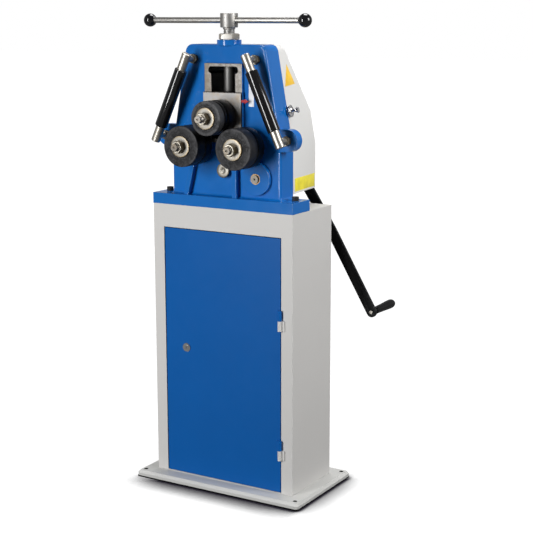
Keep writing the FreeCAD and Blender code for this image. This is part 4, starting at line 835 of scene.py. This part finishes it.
# %% [markdown]
# ## The gear cover
#
# The cover is sheet, folded over a former and welded along its back. By hand the former
# is drawn as one outline, extruded back and narrowed; its top is slanted off, its folds
# are rounded, the front is opened, and the rest gets the thickness of the sheet. The
# folds come before the thickness, so that each one is round inside and outside. The
# crank's bush passes through a hole in the back.

# %% Picking by place, and plates
def pick(piece, kind, test):
    """Select the verts, edges or faces in edit mode that pass a test on their places, in mm."""
    bpy.ops.mesh.select_mode(type=kind[:-1].upper())
    bpy.ops.mesh.select_all(action="DESELECT")
    mesh = bmesh.from_edit_mesh(piece.data)
    into = piece.matrix_world
    for element in getattr(mesh, kind):
        corners = [element] if kind == "verts" else element.verts
        if test([into @ corner.co * 1000 for corner in corners]):
            element.select = True
    mesh.select_flush_mode()
    bmesh.update_edit_mesh(piece.data)


def plate(name, points, push):
    """A flat outline, filled and extruded by a vector; in metres; left in edit mode."""
    piece = line(name, points[0], points)
    bpy.ops.mesh.edge_face_add()
    bpy.ops.mesh.extrude_region_move(TRANSFORM_OT_translate={"value": push})
    bpy.ops.mesh.select_all(action="SELECT")
    bpy.ops.mesh.normals_make_consistent(inside=False)
    return piece


print("picking and plates are ready")

# %% The gear cover
OPEN_Y, BACK_Y = FRONT + 0.090, FRONT + 0.246
HALF_WIDTH, BOTTOM, SHOULDER, TOP = 0.174, 0.8385, 0.962, 1.236
TAPER = 0.114       # how far a side comes in, per metre of depth
LEAN_IN = 0.18102   # how far a side comes in, per metre of height above the shoulder


def is_top_fold(at):
    """An edge of the top that runs back."""
    return min(p.z for p in at) > 1230 and abs(at[0].x - at[1].x) < 20


def is_slant_fold(at):
    """An edge across the top, behind the open front."""
    return min(p.z for p in at) > 1225 and abs(at[0].y - at[1].y) < 0.5 \
        and min(p.y for p in at) > OPEN_Y * 1000 + 5


def is_back_fold(at):
    """An edge round the upright part of the back."""
    return abs(sum(p.y for p in at) / 2 - BACK_Y * 1000) < 1 and max(p.z for p in at) < 1052


gable = [(-HALF_WIDTH, BOTTOM), (-HALF_WIDTH, SHOULDER), (-0.1244, TOP), (0.1244, TOP),
         (HALF_WIDTH, SHOULDER), (HALF_WIDTH, BOTTOM)]
cover = plate("folded_cover", [(x, OPEN_Y, z) for x, z in gable], (0, BACK_Y - OPEN_Y, 0))
for side in (-1, 1):
    pick(cover, "verts", lambda at: at[0].y > BACK_Y * 1000 - 1 and at[0].x * side > 0)
    bpy.ops.transform.translate(value=(-side * TAPER * (BACK_Y - OPEN_Y), 0, 0))
bpy.ops.mesh.select_all(action="SELECT")
bpy.ops.mesh.bisect(plane_co=(0, BACK_Y, 1.050), plane_no=(0, 1, 0.665), use_fill=True,
                    clear_outer=True)
for test, offset, segments in ((is_top_fold, 0.0184, 10), (is_slant_fold, 0.0134, 8),
                               (is_back_fold, 0.003, 3)):
    pick(cover, "edges", test)
    bpy.ops.mesh.bevel(offset=offset, segments=segments, affect="EDGES")
pick(cover, "faces", lambda at: max(p.y for p in at) < OPEN_Y * 1000 + 0.5)
bpy.ops.mesh.delete(type="FACE")
bpy.ops.object.mode_set(mode="OBJECT")
sheet = cover.modifiers.new("sheet", "SOLIDIFY")
sheet.thickness = 0.002
sheet.offset = -1
bpy.ops.object.modifier_apply(modifier=sheet.name)
ALONG_Y = (math.pi / 2, 0, 0)
crank_x, crank_z = AXES["crank"]
drill(cover, (crank_x, BACK_Y, crank_z), 0.0145, 0.03, ALONG_Y)
keep(cover, "stand", "cover white", "gear_cover")
print("cover with", len(cover.data.polygons), "faces")

# %% [markdown]
# ## Small turned and cut parts
#
# Each plated knob has a grooved flange, a thin waist and a round cap. The grip is
# turned plastic that swells towards a domed end. The arm is flat bar with round
# ends and one set in it. The idler axle's head has a countersunk key socket, and the
# labels on the cover are plain printed film. The round pieces are spun, and the flat ones
# are outlines with a thickness. The arm is cut across at its two bends, and what lies
# beyond the second one is moved back.

# %% Knobs, grip, axle
knob_steps = [(-24, 0), (-24, 4), (0, 4), (0, 15.8), (0.9, 17), (2.6, 17), (3.2, 15.6),
              (4.4, 15.6), (5.0, 17), (7.4, 17), (8.4, 16), (8.4, 13.2), (7.2, 12.4), (7.2, 7.4),
              (8.6, 6), (14, 4.6), (20, 4.6), (23, 6), (24.4, 7.6), (25.4, 8.25), (28.4, 8.25),
              (29.6, 7), (30, 5), (30, 0)]
knobs = [spun("knob", (side * 0.15546, FRONT + 0.097, 1.060), (side, TAPER, LEAN_IN), knob_steps,
              64)
         for side in (-1, 1)]
keep(gather("plated_knobs", knobs), "stand", "knob chrome", "cover_knobs", 0.0002)
GRIP_AXIS = (0.32701, 0.49634)
turned("swelling_grip", GRIP_AXIS, [
    (285.3, 5.05), (285.3, 8.4), (286.2, 9.8), (288, 10.5), (300, 10.6), (330, 11.3),
    (360, 12.5), (378, 13), (386, 12.9), (391, 12.2), (395, 11), (397.6, 9.7), (399.2, 8.4),
    (399.3, 8.3), (390.3, 8.3), (390.3, 5.05)], "grip", "grip plastic", "crank_grip", 0.0,
       steps=64)
turned("axle_with_head", AXES["idler"], [
    (14, 0), (14, 3.6), (11.4, 4.2), (10.9, 7.6), (10.1, 8.4), (10, 9), (10, 17.6), (11, 19.3),
    (12.4, 20), (14.5, 20), (14.5, 15), (137, 15), (137, 0)], "stand", "idler turned",
       "idler_axle", 0.00015, closed=False)
print("two knobs, a grip and an axle")

# %% The arm
LEAN = math.radians(30.37)
HUB = Vector((crank_x, FRONT + 0.250, crank_z))
DOWN = Vector((math.sin(LEAN), 0, -math.cos(LEAN)))
ACROSS = Vector((math.cos(LEAN), 0, math.sin(LEAN)))
REACH, HALF_BAR = 448, 15   # hub to grip, and half the arm's width, in millimetres
ARM_THICK, SET = 0.008, 0.012
BENDS = (60, 190)           # millimetres from the hub
SQUARE = 0.0148             # the end of the crank's shaft


def arm_point(along, across):
    """A point on the arm's front, in millimetres from the hub."""
    return HUB + DOWN * along / 1000 + ACROSS * across / 1000


half_turn = [math.pi * step / 16 for step in range(17)]
outline = [arm_point(REACH + HALF_BAR * math.sin(turn), HALF_BAR * math.cos(turn))
           for turn in half_turn]
outline += [arm_point(-HALF_BAR * math.sin(turn), -HALF_BAR * math.cos(turn))
            for turn in half_turn]
arm = plate("set_arm", outline, (0, ARM_THICK, 0))
for along in BENDS:
    bpy.ops.mesh.select_all(action="SELECT")
    bpy.ops.mesh.bisect(plane_co=arm_point(along, 0), plane_no=DOWN)
pick(arm, "verts", lambda at: (at[0] / 1000 - HUB).dot(DOWN) > (BENDS[1] - 1) / 1000)
bpy.ops.transform.translate(value=(0, SET, 0))
bpy.ops.object.mode_set(mode="OBJECT")
drill(arm, arm_point(REACH, 0) + Vector((0, SET + ARM_THICK / 2, 0)), 0.005, 0.03, ALONG_Y, 40)
bpy.ops.mesh.primitive_cube_add(size=SQUARE, location=HUB + Vector((0, ARM_THICK / 2, 0)),
                                rotation=(0, -LEAN, 0))
meet(arm, bpy.context.object, "DIFFERENCE")
keep(arm, "crank", "arm paint", "crank_arm", 0.0006, 3, 50)
print("arm with", len(arm.data.polygons), "faces")


# %% The labels
def label(name, corners, finish):
    """A thin film on the cover's right side; corners as (y, z) in mm from the cabinet's front."""
    shoulder, open_y = SHOULDER * 1000, (OPEN_Y - FRONT) * 1000
    points = []
    for y, z in corners:
        inward = LEAN_IN * max(0, z - shoulder) + TAPER * (y - open_y)
        points.append((HALF_WIDTH - inward / 1000 + 0.00005, FRONT + y / 1000, z / 1000))
    out = Vector((1, TAPER, LEAN_IN if corners[0][1] > shoulder else 0.0)).normalized()
    return keep(plate(name, points, out * 0.0002), "stand", finish, width=0.00008)


label("long_label", [(101.5, 844), (238, 844), (238, 880), (101.5, 880)], "yellow film")
label("corner_label", [(99, 1125), (166, 1129), (129, 1183)], "amber film")
print("two plain labels")

# %% [markdown]
# ## Studio
#
# The camera sees the pale floor and the backdrop as white. Mirrors see both much dimmer,
# and the room away from the backdrop is dark, so that bright metal has something dark to
# show as well. More light would whiten the floor too, but the machine with it. A white
# floor hides every shadow, so its glow fades where the foot stands close: Ambient
# Occlusion measures that, over a longer reach in front of the foot than beside it, and
# hardly at all behind.

# %% Floor
CONTACT_SHADE = (0.012, 0.010, 0.018)
SHADE_SIDE = (0.533, -0.846)   # the side of the foot where the shade lies, in plan
SEEN_SHARE, GLOW = 0.9, 1.25


def rays(recipe):
    """Whether a ray comes from the camera, from a mirror or through glass."""
    path = recipe.node("ShaderNodeLightPath").socket.node
    return [Wire(recipe, path.outputs[kind])
            for kind in ("Is Camera Ray", "Is Glossy Ray", "Is Transmission Ray")]


def openness(recipe, reach, low, bend):
    """How free the floor is of things standing on it, from 0 to 1."""
    free = recipe.node("ShaderNodeAmbientOcclusion", {"samples": 16}, {"Distance": reach},
                       output="AO")
    return spread(recipe, free, low, 1.0) ** bend


def floor_finish():
    """A pale surface that also glows a little to the camera and in reflections."""
    recipe = Recipe("pale floor")
    straight, glossy, through = rays(recipe)
    seen = (straight.most(through) * SEEN_SHARE).most(glossy)
    base = recipe.node("ShaderNodeBsdfPrincipled", {}, {
        "Base Color": (0.12, 0.12, 0.12, 1), "Roughness": 0.9, "Specular IOR Level": 0.1})
    x, y, _ = axes_of(recipe, place_of(recipe))
    front = openness(recipe, 0.135, 0.68, 2.1)
    beside = openness(recipe, 0.112, 0.6, 1.45)
    free = front + (beside - front) * spread(recipe, x, 0.26, 0.28)
    sideways = x * SHADE_SIDE[0] + y * SHADE_SIDE[1]
    near = spread(recipe, sideways, -0.03, 0.03, 0.12, 1.0)
    pale = mix(recipe, 1 - (1 - free) * near, CONTACT_SHADE, (1, 1, 1))
    pale = mix(recipe, glossy, pale, (0.2, 0.2, 0.2))
    glow = recipe.node("ShaderNodeEmission", {}, {"Color": pale, "Strength": GLOW})
    shader = recipe.node("ShaderNodeMixShader", {}, {0: seen, 1: base, 2: glow})
    recipe.node("ShaderNodeOutputMaterial", {}, {"Surface": shader})
    return recipe.material


bpy.ops.mesh.primitive_plane_add(size=60, location=(0, 0, 0))
floor = bpy.context.object
floor.name = "floor"
floor.data.materials.append(floor_finish())
print("pale floor")

# %% World
AZIMUTH, ELEVATION, ROLL = (math.radians(angle) for angle in (31.09, 11.22, -0.13))


class Room(Recipe):
    """The world's own node tree, filled by the same recipe."""

    def __init__(self):
        world = bpy.data.worlds.new("studio")
        bpy.context.scene.world = world
        world.use_nodes = True
        self.tree = world.node_tree
        self.tree.nodes.clear()


DIM_ROOM, LIT_BACKDROP, DIFFUSE_LIGHT = 0.14, 0.35, 0.015
room = Room()
straight, glossy, through = rays(room)
way = room.node("ShaderNodeTexCoord", output="Generated")
into_view = (-math.sin(AZIMUTH), math.cos(AZIMUTH), 0)
to_backdrop = room.node("ShaderNodeVectorMath", {"operation": "DOT_PRODUCT"},
                        {0: way, 1: into_view}, output="Value")
height = axes_of(room, way)[2]
backdrop = spread(room, to_backdrop, -0.15, 0.45) * spread(room, height, 0.6, 0.25)
mirrored = glossy.most(through)
dim = mirrored * (backdrop * LIT_BACKDROP + DIM_ROOM) + (1 - mirrored) * DIFFUSE_LIGHT
strength = straight + (1 - straight) * dim
sky = room.node("ShaderNodeBackground", {}, {"Color": (1, 1, 1, 1), "Strength": strength})
room.node("ShaderNodeOutputWorld", {}, {"Surface": sky})
print("white backdrop, dim room")

# %% [markdown]
# ## Lamps and camera
#
# Four soft boxes light the machine. The key is tall and narrow, low and a little left of
# the front, and it draws the long white line on each glossy sleeve. A wide one on the
# right opens the side faces, one above and behind lights the tops, and a faint one high
# on the left lifts the shadows. The camera stands far off to the right of the front,
# just over the rolls, with a long lens and a trace of roll.

# %% Lamps
AIM = Vector((0, 0, 0.85))


def lamp(name, azimuth, elevation, distance, size, power):
    """A soft box: azimuth runs from the front to the right, both angles in degrees."""
    data = bpy.data.lights.new(name, "AREA")
    data.shape = "RECTANGLE"
    data.size, data.size_y = size
    data.energy = power
    made = bpy.data.objects.new(name, data)
    bpy.context.scene.collection.objects.link(made)
    turn, rise = math.radians(azimuth), math.radians(elevation)
    way = Vector((math.sin(turn) * math.cos(rise), -math.cos(turn) * math.cos(rise),
                  math.sin(rise)))
    pose = way.to_track_quat("Z", "Y").to_matrix().to_4x4()
    made.matrix_world = Matrix.Translation(AIM + way * distance) @ pose
    made.visible_camera = False


lamp("key", -15.5, 8, 3.2, (0.42, 2.2), 96)
lamp("left high", -42, 38, 3.5, (1.2, 1.2), 2)
lamp("right", 92, 23, 3.2, (1.0, 1.7), 88)
lamp("top back", 188, 72, 3.0, (1.5, 1.5), 82)
print("four soft boxes")

# %% Camera
CAMERA_AT = Vector((1.88777, -2.99879, 1.32297))
FOCAL_LENGTH, PICTURE_WIDTH = 1288.26, 533   # both in pixels
SENSOR = 36
back = Vector((math.sin(AZIMUTH) * math.cos(ELEVATION), -math.cos(AZIMUTH) * math.cos(ELEVATION),
               math.sin(ELEVATION)))
right = Vector((math.cos(AZIMUTH), math.sin(AZIMUTH), 0))
upward = right.cross(-back)
rolled_right = right * math.cos(ROLL) + upward * math.sin(ROLL)
rolled_up = upward * math.cos(ROLL) - right * math.sin(ROLL)
camera_data = bpy.data.cameras.new("camera")
camera_data.sensor_width = SENSOR
camera_data.lens = FOCAL_LENGTH / PICTURE_WIDTH * SENSOR
camera_data.clip_end = 60
camera = bpy.data.objects.new("camera", camera_data)
bpy.context.scene.collection.objects.link(camera)
turn = Matrix((rolled_right, rolled_up, back)).transposed().to_4x4()
camera.matrix_world = Matrix.Translation(CAMERA_AT) @ turn
bpy.context.scene.camera = camera
bpy.context.scene.view_settings.view_transform = "Standard"
print("camera with a lens of", round(camera_data.lens, 1), "mm")

# %% [markdown]
# ## The end
#
# The view layer is brought up to date.

# %% Finish
bpy.context.view_layer.update()
